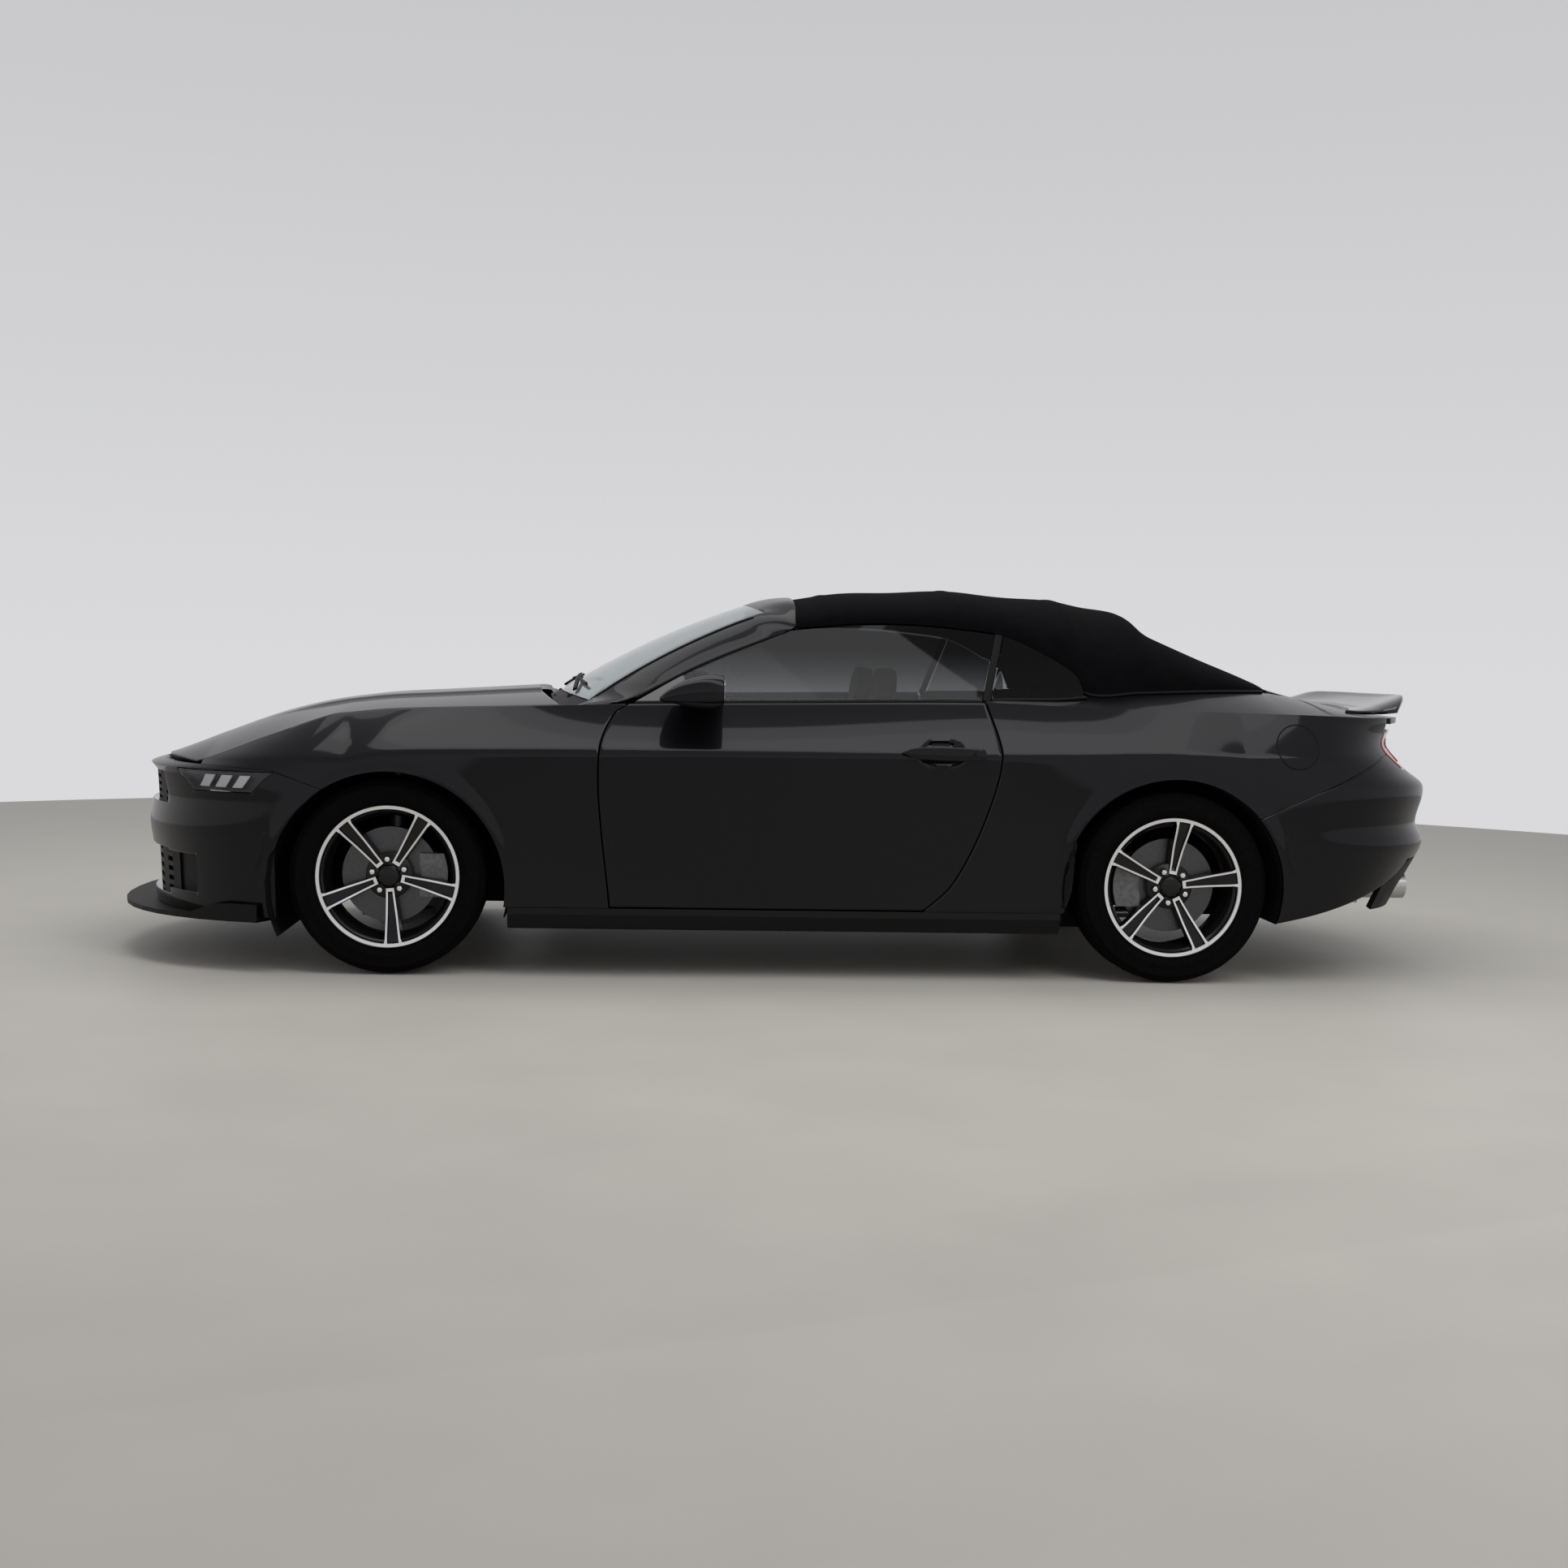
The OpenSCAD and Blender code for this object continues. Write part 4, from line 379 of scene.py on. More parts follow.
def both(m, p, t, **how):
    for side, _ in SIDES:
        m.shell(on_side(p, side), t, **how)


def both_sweeps(m, path, section, ups=(0, 0, 1), **how):
    m.sweep(path, section, ups, **how)
    m.sweep(mirrored(path), section, np.asarray(ups, float) * [1, -1, 1], **how)


def one_shell(p, t, name, body, mats, slot, replaces, **how):
    m = Mesh()
    m.shell(p, t, **how)
    m.make(name, body, mats, slot, replaces)


THIN = {"lip": 0.5, "step": 1}


# Materials
def feed(nt, node, **inputs):
    """Link the inputs that are given as sockets and set the others."""
    for key, value in inputs.items():
        socket = node.inputs[key.replace("_", " ")]
        if isinstance(value, bpy.types.NodeSocket):
            nt.links.new(value, socket)
        else:
            socket.default_value = value


def add_node(nt, kind, **inputs):
    node = nt.nodes.new("ShaderNode" + kind)
    feed(nt, node, **inputs)
    return node


def color_ramp(nt, fac, *stops):
    """Colour of a ramp through stops of (position, colour), its two ends first."""
    node = add_node(nt, "ValToRGB", Fac=fac)
    elements = node.color_ramp.elements
    for i, (at, color) in enumerate(stops):
        e = elements[i] if i < 2 else elements.new(at)
        e.position, e.color = at, (*np.clip(color, 0, 1), 1)
    return node.outputs["Color"]


def relief(nt, height, strength, depth):
    return add_node(nt, "Bump", Strength=strength, Distance=depth, Height=height).outputs["Normal"]


ROUGH_SPREAD = 0.1


def material(name, color, rough, metal=0.0, vary=0.15, scale=60.0, bump=0.0, bump_scale=0.0, spec=0.5,
             coat=0.0, **more):
    """Principled material whose colour, roughness and relief vary with noise."""
    m = bpy.data.materials.new(name)
    m.use_nodes = True
    nt = m.node_tree
    co = add_node(nt, "TexCoord").outputs["Object"]
    noise = add_node(nt, "TexNoise", Vector=co, Scale=scale, Detail=6).outputs["Fac"]
    c = np.array(color, float)
    tone = color_ramp(nt, noise, (0.3, c * (1 - vary)), (0.7, c * (1 + vary)))
    low, high = max(rough * (1 - ROUGH_SPREAD), 0), min(rough * (1 + ROUGH_SPREAD), 1)
    worn = add_node(nt, "MapRange", Value=noise, To_Min=low, To_Max=high).outputs["Result"]
    if bump:
        fine = add_node(nt, "TexNoise", Vector=co, Scale=bump_scale or scale, Detail=3).outputs["Fac"]
        more["Normal"] = relief(nt, fine, bump, 0.001)
    feed(nt, nt.nodes["Principled BSDF"], Base_Color=tone, Roughness=worn, Metallic=metal,
         Specular_IOR_Level=spec, Coat_Weight=coat, **more)
    return m


def glass_with_painted_shade(name, low, high, z_low, z_high):
    """Tinted glass with painted shade that darkens it from its foot to its top edge."""
    m = material(name, low, 0.02, vary=0.0, scale=3.0, Transmission_Weight=1.0, IOR=1.28)
    nt = m.node_tree
    sep = add_node(nt, "SeparateXYZ", Vector=add_node(nt, "TexCoord").outputs["Object"])
    height = add_node(nt, "MapRange", Value=sep.outputs["Z"], From_Min=z_low, From_Max=z_high)
    # Painted shade: the glass colour runs from the foot's tint to a darker top
    tint_and_painted_shade = color_ramp(nt, height.outputs["Result"], (0, low), (1, high))
    feed(nt, nt.nodes["Principled BSDF"], Base_Color=tint_and_painted_shade)
    return m


def weave(name, color, pitch, rough=0.95):
    """Woven cloth: two crossed sets of threads that show in relief."""
    m = material(name, color, rough, vary=0.25, scale=18.0, spec=0.04, Sheen_Weight=0.004,
                 Sheen_Roughness=0.5)
    nt = m.node_tree
    co = add_node(nt, "TexCoord").outputs["Object"]
    top = add_node(nt, "Math")
    top.operation = "MAXIMUM"
    for axis, socket in zip("XY", top.inputs):
        threads = add_node(nt, "TexWave", Vector=co, Scale=0.314 / pitch, Distortion=0.4)
        threads.bands_direction = axis
        nt.links.new(threads.outputs["Fac"], socket)
    feed(nt, nt.nodes["Principled BSDF"], Normal=relief(nt, top.outputs[0], 0.5, 0.0006))
    return m


# Each: name, colour, roughness, metal, colour spread, noise scale, relief, relief's own scale,
# specular level, coat
PAINT = material("paint_dark_grey", (0.0045, 0.0043, 0.0058), 0.36, 0.6, 0.5, 2600, 0.012, 300, 0.1, 0.42,
                 Coat_Roughness=0.06)
TRIM = material("trim_black", (0.005, 0.005, 0.0055), 0.5, 0, 0.3, 900, 0.25, 1400, 0.16)
GLOSS = material("gloss_black", (0.005, 0.005, 0.0055), 0.12, 0, 0.2, 40, coat=0.3)
SEAL = material("seal_rubber", (0.004, 0.004, 0.004), 0.7, 0, 0.3, 300, 0.1, spec=0.15)
GLASS = material("screen_glass", (0.78, 0.86, 0.84), 0.02, 0, 0.02, 3, Transmission_Weight=1.0, IOR=1.45)
# Side glass tint with painted shade, darker from 0.95 m up to 1.15 m
TINT_PAINTED_SHADE = glass_with_painted_shade("tinted_glass", (0.36, 0.37, 0.38), (0.045, 0.047, 0.05), 0.95, 1.15)
LENS = material("smoked_lens", (0.85, 0.85, 0.87), 0.03, 0, 0.03, 5, Transmission_Weight=1.0, IOR=1.3)
LAMP = material("lamp_inner", (0.012, 0.012, 0.013), 0.3, 0.4, 0.2, 200)
BAR = material("lamp_bar", (0.9, 0.9, 0.88), 0.3, 0, 0.08, 150, 0.1, coat=0.4)
RED = material("red_bar", (0.42, 0.008, 0.012), 0.15, 0, 0.15, 120, 0.08, coat=0.8)
RUBY = material("red_lens", (0.16, 0.004, 0.006), 0.12, 0, 0.15, 120, 0.08, coat=0.8)
SMOKE = material("marker_smoke", (0.006, 0.0045, 0.0042), 0.3, 0, 0.2, 200, 0.15, spec=0.15, coat=0.1)
UNDER = material("underbody_black", (0.006, 0.006, 0.006), 0.85, 0, 0.35, 35, 0.3, 250, 0.15)
CAST = material("cast_metal", (0.16, 0.16, 0.165), 0.5, 0.85, 0.25, 70, 0.3, 500)
STEEL = material("brushed_steel", (0.55, 0.55, 0.55), 0.28, 1, 0.08, 260, 0.1)
CHROME = material("chrome", (0.8, 0.8, 0.8), 0.08, 1, 0.03, 60)
TURNED = material("turned_disc", (0.09, 0.09, 0.095), 0.35, 1, 0.12, 150, 0.2, 600)
CABIN = material("cabin_grain", (0.014, 0.014, 0.015), 0.65, 0, 0.25, 500, 0.35, 900, 0.25)
RUBBER = material("tyre_rubber", (0.003, 0.003, 0.0032), 0.8, 0, 0.3, 90, 0.25, 700, 0.04)
MACHINED = material("machined_alloy", (0.86, 0.86, 0.87), 0.3, 1, 0.05, 400, 0.06)
POCKET = material("wheel_black", (0.005, 0.005, 0.0055), 0.25, 0, 0.2, 300, spec=0.3)
CLOTH = weave("roof_fabric", (0.003, 0.003, 0.0036), 0.0022)
LINING = weave("roof_lining", (0.02, 0.02, 0.021), 0.003)
SEAT = weave("seat_cloth", (0.012, 0.012, 0.013), 0.0026, 0.85)
LEATHER = material("leather_black", (0.012, 0.012, 0.012), 0.45, 0, 0.2, 300, 0.5, 650, 0.3)
MIRROR = material("mirror_glass", (0.75, 0.76, 0.78), 0.02, 1, 0.02, 4)

for finish, nodes in (
        (UNDER, "tub"), (TRIM, "grille lower_trim cowl"), (GLOSS, "tail_panel"), (STEEL, "exhaust"),
        (CAST, "engine front_suspension rear_axle knuckle_left knuckle_right"), (CABIN, "dashboard"),
        (LEATHER, "steering_wheel"),
        (TURNED, "disc_front_left disc_front_right disc_rear_left disc_rear_right")):
    for node in nodes.split():
        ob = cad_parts[node]
        ob.data.materials.clear()
        ob.data.materials.append(finish)


# Side panels
def arch_point(x0, arch, deg):
    return np.stack([x0 + arch[0] * np.cos(rad(deg)), arch[1] + arch[0] * np.sin(rad(deg))], -1)


panel_foot = sill_h - shut_gap + seam
foot_f, foot_r = (math.degrees(math.asin((panel_foot - z0) / r)) for r, z0 in (arch_f, arch_r))
lamp_back = np.array([xf + 395, nose_h - 3.0])
wing_tip = np.array([xf + 660, nose_h + 6.0])
nose_joint = 57
joint_f = arch_point(xf, arch_f, nose_joint)
corner_f = door_edge(DOOR_FRONT, 1, shut_gap)


def along(u, pieces):
    """Points at u from pieces of (u0, u1, function of the share)."""
    out = np.zeros((len(u), 2))
    for u0, u1, f in pieces:
        inside = (u >= u0) & (u <= u1)
        out[inside] = f(((u[inside] - u0) / (u1 - u0)))
    return out


def line(a, b):
    return lambda t: np.asarray(a) + (np.asarray(b) - np.asarray(a)) * t[:, None]


def on_crest(x0, x1):
    def f(t):
        x = mix(x0, x1, t)
        return np.stack([x, crest(x)], -1)
    return f


DOOR_ROWS = [1, 0.88, 0.76, 0.66, 0.5, 0.3, 0.12]


def wing():
    u = np.concatenate([[0, 0.02], np.linspace(0.05, 17.95, 170), [17.98, 18]])
    low = along(u, [(0, 3, line(wing_tip, lamp_back)), (3, 5, line(lamp_back, joint_f)),
                    (5, 18, lambda t: arch_point(xf, arch_f, mix(nose_joint, 180 - foot_f, t)))])
    rows = lambda t: door_edge(DOOR_FRONT, np.interp(t * 6, range(7), DOOR_ROWS), shut_gap)
    foot = [DOOR_FRONT[0][1] + shut_gap, panel_foot]
    top = along(u, [(0, 3, on_crest(wing_tip[0], lamp_back[0])), (3, 4, on_crest(lamp_back[0], xf + 318)),
                    (4, 5, on_crest(xf + 318, xf + 240)), (5, 11, on_crest(xf + 240, corner_f[0])),
                    (11, 17, rows), (17, 18, line(door_edge(DOOR_FRONT, 0.12, shut_gap), foot))])
    flat = mix(low[:, None], top[:, None], edged(56, 0.006)[None, :, None])
    return skin(flat[..., 0], flat[..., 1])


m = Mesh()
both(m, wing(), panel_t, inner_mat=1)
m.make("fenders_skin", BODY, [PAINT, UNDER], "paint", "fenders")

# Doors, with a dished pocket behind each handle
handle_z = shoulder_h + 6


def pocket_depth(x, z):
    r = (np.abs((x - (xr + 826)) / 66) ** 3 + np.abs((z - handle_z) / 36) ** 3) ** (1 / 3)
    return 13 * smooth(1.25 - r, 0, 0.4)


u, v = net(edged(150, 0.002), edged(90, 0.003))
x = mix(curve(DOOR_FRONT, 1, v), curve(DOOR_REAR, 1, v), u)
g = skin(x, door_z(x, v))
g[..., 1] -= pocket_depth(g[..., 0], g[..., 2])
inner = g.copy()
inner[..., 1] = hw - 30 - mix(130, 160, v)
inner[-2:, :, 0] += 10
for side, name in SIDES:
    body = "door_" + name
    one_shell(on_side(g, side), 60, body + "_skin", body, [PAINT, CABIN], "paint", body,
              inner=on_side(inner, side), inner_mat=1)

# Rear quarters with the strip beside roof and lid
tail_joint = 139
lamp_corner = np.array([xr - 790, 800.0])
quarter_end_x = xr - 830
joint_r = arch_point(xr, arch_r, tail_joint)
roof_foot_x, roof_turn_x, deck_step_x = xr + 290, xr - 410, xr - 572
corner_r = door_edge(DOOR_REAR, 1, -shut_gap)
QUARTER_X = [corner_r[0], xr + 604, xr + 515, xr + 425, roof_foot_x, xr + 150, xr + 40, xr - 20, xr - 120,
             xr - 230, xr - 320, roof_turn_x, deck_step_x + 2, deck_step_x, xr - 700, quarter_end_x]


def deck_y(x):
    return curve(ROOF, 1, x) + 2


def deck_z(x):
    return curve(ROOF, 2, x) - 4


def shelf_at(x):
    t = (roof_turn_x - x) / (roof_turn_x - deck_step_x)
    lid = xyz(x, curve(SHELF, 1, x), curve(SHELF, 2, x))
    step = xyz(x, deck_y(roof_turn_x), mix(deck_z(roof_turn_x), belt_h + 33, t))
    top = xyz(x, deck_y(x), deck_z(x))
    glass = xyz(x, curve(LEDGE, 1, x), curve(LEDGE, 2, x))
    x = x[..., None]
    front = np.where(x <= roof_foot_x, top, glass)
    return np.where(x <= deck_step_x, lid, np.where(x < roof_turn_x, step, front))


def quarter():
    u = np.concatenate([[0, 0.02], np.linspace(0.06, 14.94, 150), [14.98, 15]])
    start = np.array([DOOR_REAR[0][1] - shut_gap, panel_foot])
    foot = arch_point(xr, arch_r, foot_r)
    low = along(u, [(0, 1, line(start, mix(start, foot, 0.55))), (1, 2, line(mix(start, foot, 0.55), foot)),
                    (2, 10, lambda t: arch_point(xr, arch_r, mix(foot_r, tail_joint, t))),
                    (10, 14, line(joint_r, lamp_corner)),
                    (14, 15, line(lamp_corner, [quarter_end_x, lamp_corner[1] + 8]))])
    x = np.interp(u, range(16), QUARTER_X)
    top = np.stack([x, crest(x)], -1)
    v = edged(64, 0.005)
    edge = door_edge(DOOR_REAR, v, -shut_gap) - mix(low[0], top[0], v[:, None])
    fade = np.maximum(1 - u / 5, 0)[:, None, None] * np.where(v[None, :, None] == 0, 0, 1)
    flat = mix(low[:, None], top[:, None], v[None, :, None]) + edge[None] * fade
    side = skin(flat[..., 0], flat[..., 1])
    t = edged(14, 0.02)[1:][None, :, None]
    strip = mix(side[:, -1][:, None], shelf_at(x)[:, None], t)
    strip[..., 2] += 10 * t[..., 0] * (1 - t[..., 0])
    return np.concatenate([side, strip], 1)


def lid_z(x, s):
    return mix(curve(SHELF, 2, x), curve(LID, 1, x), 1 - s * s)


def lid_edge_y(x):
    return curve(SHELF, 1, x) - shut_gap


def lid_front(s):
    return mix(xr - 600, xr - 584, s * s)


def lid_rear(s):
    z = belt_h - 24.0
    y = np.abs(s) * lid_edge_y(quarter_end_x) / side_y(tail_start, z)
    return tail_start + (tail_tip(z) - tail_start) * rounded(y, tail_power)


m = Mesh()
both(m, quarter(), panel_t, inner_mat=1)
xs = np.linspace(roof_turn_x, xr - 470, 12)
left = xyz(xs - 1, np.minimum(deck_y(xs), deck_y(roof_turn_x) - 0.6), deck_z(xs))
left = np.concatenate([left, roof_at(xr - 500, np.linspace(1, 0, 24)) - [1, 0, 3]])
front_line = np.concatenate([left, mirrored(left[:-1])])
s = front_line[:, 1] / lid_edge_y(lid_front(0))
x = lid_front(s) + 12
rear_line = xyz(x, front_line[:, 1], lid_z(x, s))
m.shell(mix(front_line[None], rear_line[None], edged(8, 0.06)[:, None, None]), 8, lip=0.6)
m.make("quarters_skin", BODY, [PAINT, UNDER], "paint", "quarter_panels")

# Hood
hood_back, hood_back_mid, hood_front_z = xf - 575, xf - 465, nose_h + 13.0


def crest_y(x):
    return skin_y(x, crest(x))


def hood_edge_y(x):
    return crest_y(np.minimum(x, wing_tip[0])) - shut_gap - 2


def hood_z(x, s):
    dome = 10 * smooth(0.485 - np.abs(s), 0, 0.06) * smooth(xf + 560 - x, 0, 300)
    return mix(crest(x), curve(HOOD, 1, x), 1 - np.abs(s) ** 2.2) + dome


t, s = net(edged(150, 0.0025), 1 - 2 * edged(140, 0.002))
y = np.abs(s) * hood_edge_y(wing_tip[0]) / side_y(nose_start, hood_front_z)
first = nose_start + (nose_tip(hood_front_z) - nose_start) * rounded(y, nose_power)
x = mix(first, mix(hood_back_mid, hood_back, s * s), t)
one_shell(xyz(x, s * hood_edge_y(x), hood_z(x, s)), panel_t, "hood_skin", "hood", [PAINT, UNDER], "paint",
          "hood", inner_mat=1)

# Deck lid and spoiler
t, s = net(edged(60, 0.006), 1 - 2 * edged(100, 0.002))
x = mix(lid_front(s), lid_rear(s), t)
one_shell(xyz(x, s * lid_edge_y(x), lid_z(x, s)), panel_t, "deck_lid_skin", "deck_lid", [PAINT, UNDER],
          "paint", "deck_lid", inner_mat=1)
t, s = net(edged(26, 0.02), 0.97 * (1 - 2 * edged(110, 0.003)))
x = mix(lid_rear(s) + 190, lid_rear(s) - 20, t)
z = lid_z(x, s) + 12.6 + 78 * t**1.4 * (1 - np.abs(s) ** 8)
one_shell(xyz(x, s * lid_edge_y(x), z), 12, "spoiler_skin", "deck_lid", [GLOSS], "trim", "spoiler", lip=2.5)

# Nose: corner values of angle and height, filled in between on the skin
lamp_low, lamp_high = 615.0, nose_h - 10.0
NOSE_COLUMNS = [[0, 0], [7, 7], [14, 14], [21, 21], [28, 28], [38, 38], [52, 45], [58, 56], [64, 66],
                [70, 76], [76, 82]]
NOSE_ROWS = [floor_h, 238, 320, 400, 480, 560, lamp_low, lamp_high]
NOSE_LAMP = 6
WING_LOW = [mix(wing_tip, lamp_back, t / 3) for t in range(4)] + [mix(lamp_back, joint_f, 0.5), joint_f]
nose_n = len(NOSE_COLUMNS)


def joint_z(x):
    t = np.clip((lamp_back[0] - x) / (lamp_back[0] - joint_f[0]), 0, 1)
    return mix(lamp_back[1], joint_f[1], t) - seam


def arch_front_x(z):
    return xf + math.sqrt(max(arch_f[0] ** 2 - (z - arch_f[1]) ** 2, 0))


def nose_corner(k, j):
    if k >= NOSE_LAMP and j == len(NOSE_ROWS):
        x, z = WING_LOW[k - NOSE_LAMP]
        return float(nose_angle(x, z - seam)), z - seam
    c = NOSE_COLUMNS[min(k, nose_n - 1)]
    z = NOSE_ROWS[j] if j < len(NOSE_ROWS) else nose_h + 10 - c[1] / 12
    over = min((z - lamp_low) / (nose_h - lamp_low), 1) if z > lamp_low else 0
    if k == nose_n:
        z = mix(lamp_low, joint_f[1] - seam, over) if over else z
        return float(nose_angle(arch_front_x(z), z)), z
    if k == nose_n - 1 and over:
        z = mix(lamp_low, float(joint_z(nose_at(82.0, 660.0)[0])), over)
    return mix(c[0], c[1], min(max((z - lamp_low) / (lamp_high - lamp_low), 0), 1)), z


corners = np.array([[(math.copysign(1, k) * nose_corner(abs(k), j)[0], nose_corner(abs(k), j)[1])
                     for j in range(len(NOSE_ROWS) + 1)] for k in range(-nose_n, nose_n + 1)])


def nose_solid(i, j):
    """Whether a cell is bumper, and not grille opening or lamp."""
    k = nose_n - 1 - i if i < nose_n else i - nose_n
    return not (k < 5 and j in (1, 2, 5, 6) or NOSE_LAMP <= k < 9 and j == 6)


def fill(i, j):
    """Skin at fractional columns i and rows j."""
    i0 = np.clip(np.floor(i).astype(int), 0, corners.shape[0] - 2)
    j0 = np.clip(np.floor(j).astype(int), 0, corners.shape[1] - 2)
    s, t = (i - i0)[..., None], (j - j0)[..., None]
    a = mix(corners[i0, j0], corners[i0 + 1, j0], s)
    b = mix(corners[i0, j0 + 1], corners[i0 + 1, j0 + 1], s)
    q = mix(a, b, t)
    return flared(nose_at(q[..., 0], q[..., 1]))


def index_steps(n):
    """Fractional numbers through n cells, closer together at each cell's edges."""
    cell = np.concatenate([[0.03], np.linspace(0.12, 0.88, 7), [0.97]])
    return np.concatenate([[0]] + [np.concatenate([k + cell, [k + 1]]) for k in range(n)])


def cells(steps, n):
    return np.minimum(np.floor((steps[:-1] + steps[1:]) / 2).astype(int), n - 1)


INTAKES, INTAKE_ROWS = (5, 16), (1.24, 2.89)
ui, vi = index_steps(2 * nose_n), index_steps(len(NOSE_ROWS))
cell_i, cell_j = cells(ui, 2 * nose_n), cells(vi, len(NOSE_ROWS))
solid = np.array([[nose_solid(i, j) for j in cell_j] for i in cell_i])
intake = np.isin(cell_i, INTAKES)[:, None] & ((vi[:-1] > INTAKE_ROWS[0]) & (vi[1:] < INTAKE_ROWS[1]))[None, :]
one_shell(fill(*net(ui, vi)), 34, "front_bumper_skin", BODY, [PAINT, GLOSS], "paint", "front_bumper",
          keep=solid & ~intake, wall_mat=1, lip=2)
m = Mesh()
for i0 in INTAKES:
    p = fill(*net(np.linspace(i0 - 0.02, i0 + 1.02, 16), np.linspace(1.22, 2.9, 20)))
    m.shell(off(p, -32), 3, lip=0.5)
m.make("intake_pockets", BODY, [TRIM], "trim")


def nose_patch(*corners):
    q = patch(corners)
    return nose_at(q[..., 0], q[..., 1])


# Headlamps: dark box, three slanted bars and a smoked lens
m_back, m_lens, m_bar = Mesh(), Mesh(), Mesh()
for i0, i1 in ((2, 5), (17, 20)):
    p = fill(*net(np.linspace(i0 + 0.02, i1 - 0.02, 40), np.linspace(6.04, 6.96, 16)))
    m_back.grid(off(p, -24))
    m_lens.shell(p, 3, lip=0.6)
for low, high in (((53.8, 57.0), (56.4, 59.6)), ((59.2, 62.4), (61.8, 65.0)), ((64.6, 67.4), (67.2, 70.0))):
    bar_low, bar_high = lamp_low + 16, lamp_low + 58
    q = nose_patch((low[0], bar_low), (low[1], bar_low), (high[1], bar_high), (high[0], bar_high))
    both(m_bar, off(q, -9), 6, lip=1)
m_back.make("headlamp_boxes", BODY, [LAMP], "lamp")
m_bar.make("headlamp_bars", BODY, [BAR], "lamp")
m_lens.make("headlamp_lenses", BODY, [LENS], "lamp", "headlamps")

# Side markers at the bumper ends
m = Mesh()
rear_mark = patch([(xr - 414, 392), (xr - 436, 394), (xr - 399, 526), (xr - 383, 523)])
front_mark = nose_patch((70.6, 348), (72.8, 348), (75.0, 487), (73.4, 487))
for q in (front_mark, skin(rear_mark[..., 0], rear_mark[..., 1])):
    both(m, off(q, 1.5), 5, lip=0.8)
m.make("side_markers", BODY, [SMOKE], "trim")

# Rear bumper
corner_k = float(tail_angle(quarter_end_x, lamp_corner[1] + 8)) / 90
PANEL_K = [corner_k, corner_k - 0.05, 0.34, 0.26, 0.18, 0.1, 0]
TAIL_K = [1, 0.95, 0.88, 0.8, 0.7, 0.62, 0.55, 0.51] + PANEL_K


def arch_rear_x(z):
    return xr - np.sqrt(np.maximum(arch_r[0] ** 2 - (z - arch_r[1]) ** 2, 0))


def tail_point(k, z):
    return tail_at(k * tail_angle(arch_rear_x(z), z), z)


def bumper_low(k):
    return np.where(k > 0.5, mix(430, 215, np.clip((k - 0.5) / 0.5, 0, 1) ** 0.6), 430)


def joint_low(x):
    a = mix(joint_r[1], lamp_corner[1], np.clip((joint_r[0] - x) / (joint_r[0] - lamp_corner[0]), 0, 1))
    b = lamp_corner[1] + 8 * np.clip((lamp_corner[0] - x) / (lamp_corner[0] - quarter_end_x), 0, 1)
    return np.where(x > lamp_corner[0], a, b)


def bumper_high(k):
    if k < corner_k - 0.01:
        return 748 - seam
    z = 700.0
    for _ in range(14):
        z = mix(z, float(joint_low(tail_point(k, z)[0])), 0.6)
    return z - seam


TAIL_HIGH = [bumper_high(k) for k in TAIL_K]


def tail_high(k):
    return np.interp(np.abs(k), TAIL_K[::-1], TAIL_HIGH[::-1])


half = np.interp(index_steps(len(TAIL_K) - 1), range(len(TAIL_K)), TAIL_K)
ks = np.concatenate([half, -half[:-1][::-1]])[:, None]
z = mix(bumper_low(np.abs(ks)), tail_high(ks), edged(60, 0.006))
one_shell(flared(tail_point(ks, z)), panel_t, "rear_bumper_skin", BODY, [PAINT, UNDER], "paint",
          "rear_bumper", inner_mat=1)


# Tail lamps: red lens with three upright bars a side, and a red end round the corner
def panel_at(k, v):
    return tail_point(k, mix(tail_high(k) + 3 * seam, belt_h - 66, v))


m_lens, m_bar = Mesh(), Mesh()
k = np.interp(np.linspace(0.03, 3.97, 60), range(5), PANEL_K[1:6])
both(m_lens, off(panel_at(*net(k, np.linspace(0.13, 0.87, 16))), -2), 10, lip=1)
for c in (0.10, 0.19, 0.28):
    k, v = net(np.linspace(c + 0.035, c, 10), np.linspace(0.2, 0.8, 14))
    both(m_bar, off(panel_at(k + 0.02 * np.abs(v - 0.5), v), 3), 8, lip=1.5)
k, v = net(np.linspace(corner_k - 0.003, PANEL_K[1] - 0.01, 16), np.linspace(0.06, 0.94, 20))
both(m_bar, off(panel_at(k, v), 3), 4, lip=1)
m_lens.make("tail_lamp_lenses", BODY, [RUBY], "lamp_red", "taillamps")
m_bar.make("tail_lamp_bars", BODY, [RED], "lamp_red")

# Windscreen: side corner and middle of its lower and upper edges
screen_low, screen_low_mid = (xf - 670, hw - 255, belt_h - 5.0), (xf - 545, 0, belt_h + 22.0)
screen_top, screen_top_mid = (xf - 1290, hw - 408, belt_h + 318.0), (xf - 1235, 0, belt_h + 354.0)


def screen_edge(side, mid, s):
    return xyz(mix(mid[0], side[0], s * s), s * side[1], mix(mid[2], side[2], s * s))


def screen_at(t, s):
    t, s = np.broadcast_arrays(t, s)
    low, top = screen_edge(screen_low, screen_low_mid, s), screen_edge(screen_top, screen_top_mid, s)
    p = mix(low, top, t[..., None])
    return p + (24 * 4 * t * (1 - t))[..., None] * xyz(0.45, 0.15 * s, 0.88)


one_shell(screen_at(*net(np.linspace(0, 1, 36), np.linspace(1, -1, 60))), 5, "windscreen_glass", BODY,
          [GLASS], "glass", "windshield", **THIN)


# Windscreen frame: posts and header in body colour
def roof_share(y):
    r = np.clip(np.abs(y) / ROOF[-1][1], 0, 1)
    return np.sign(y) * (1 - np.degrees(np.arccos(r**1.25)) / 90)


def post_pair(t):
    x = mix(xf - 815, roof_front_x + seam, t)
    z = float(curve(POST, 1, x))
    return [[x, float(glass_y(x, z)) - 12, z + 4 + 12 * (1 - t) ** 6], screen_at(t, 1.0) + [0, 0.6, 0]]


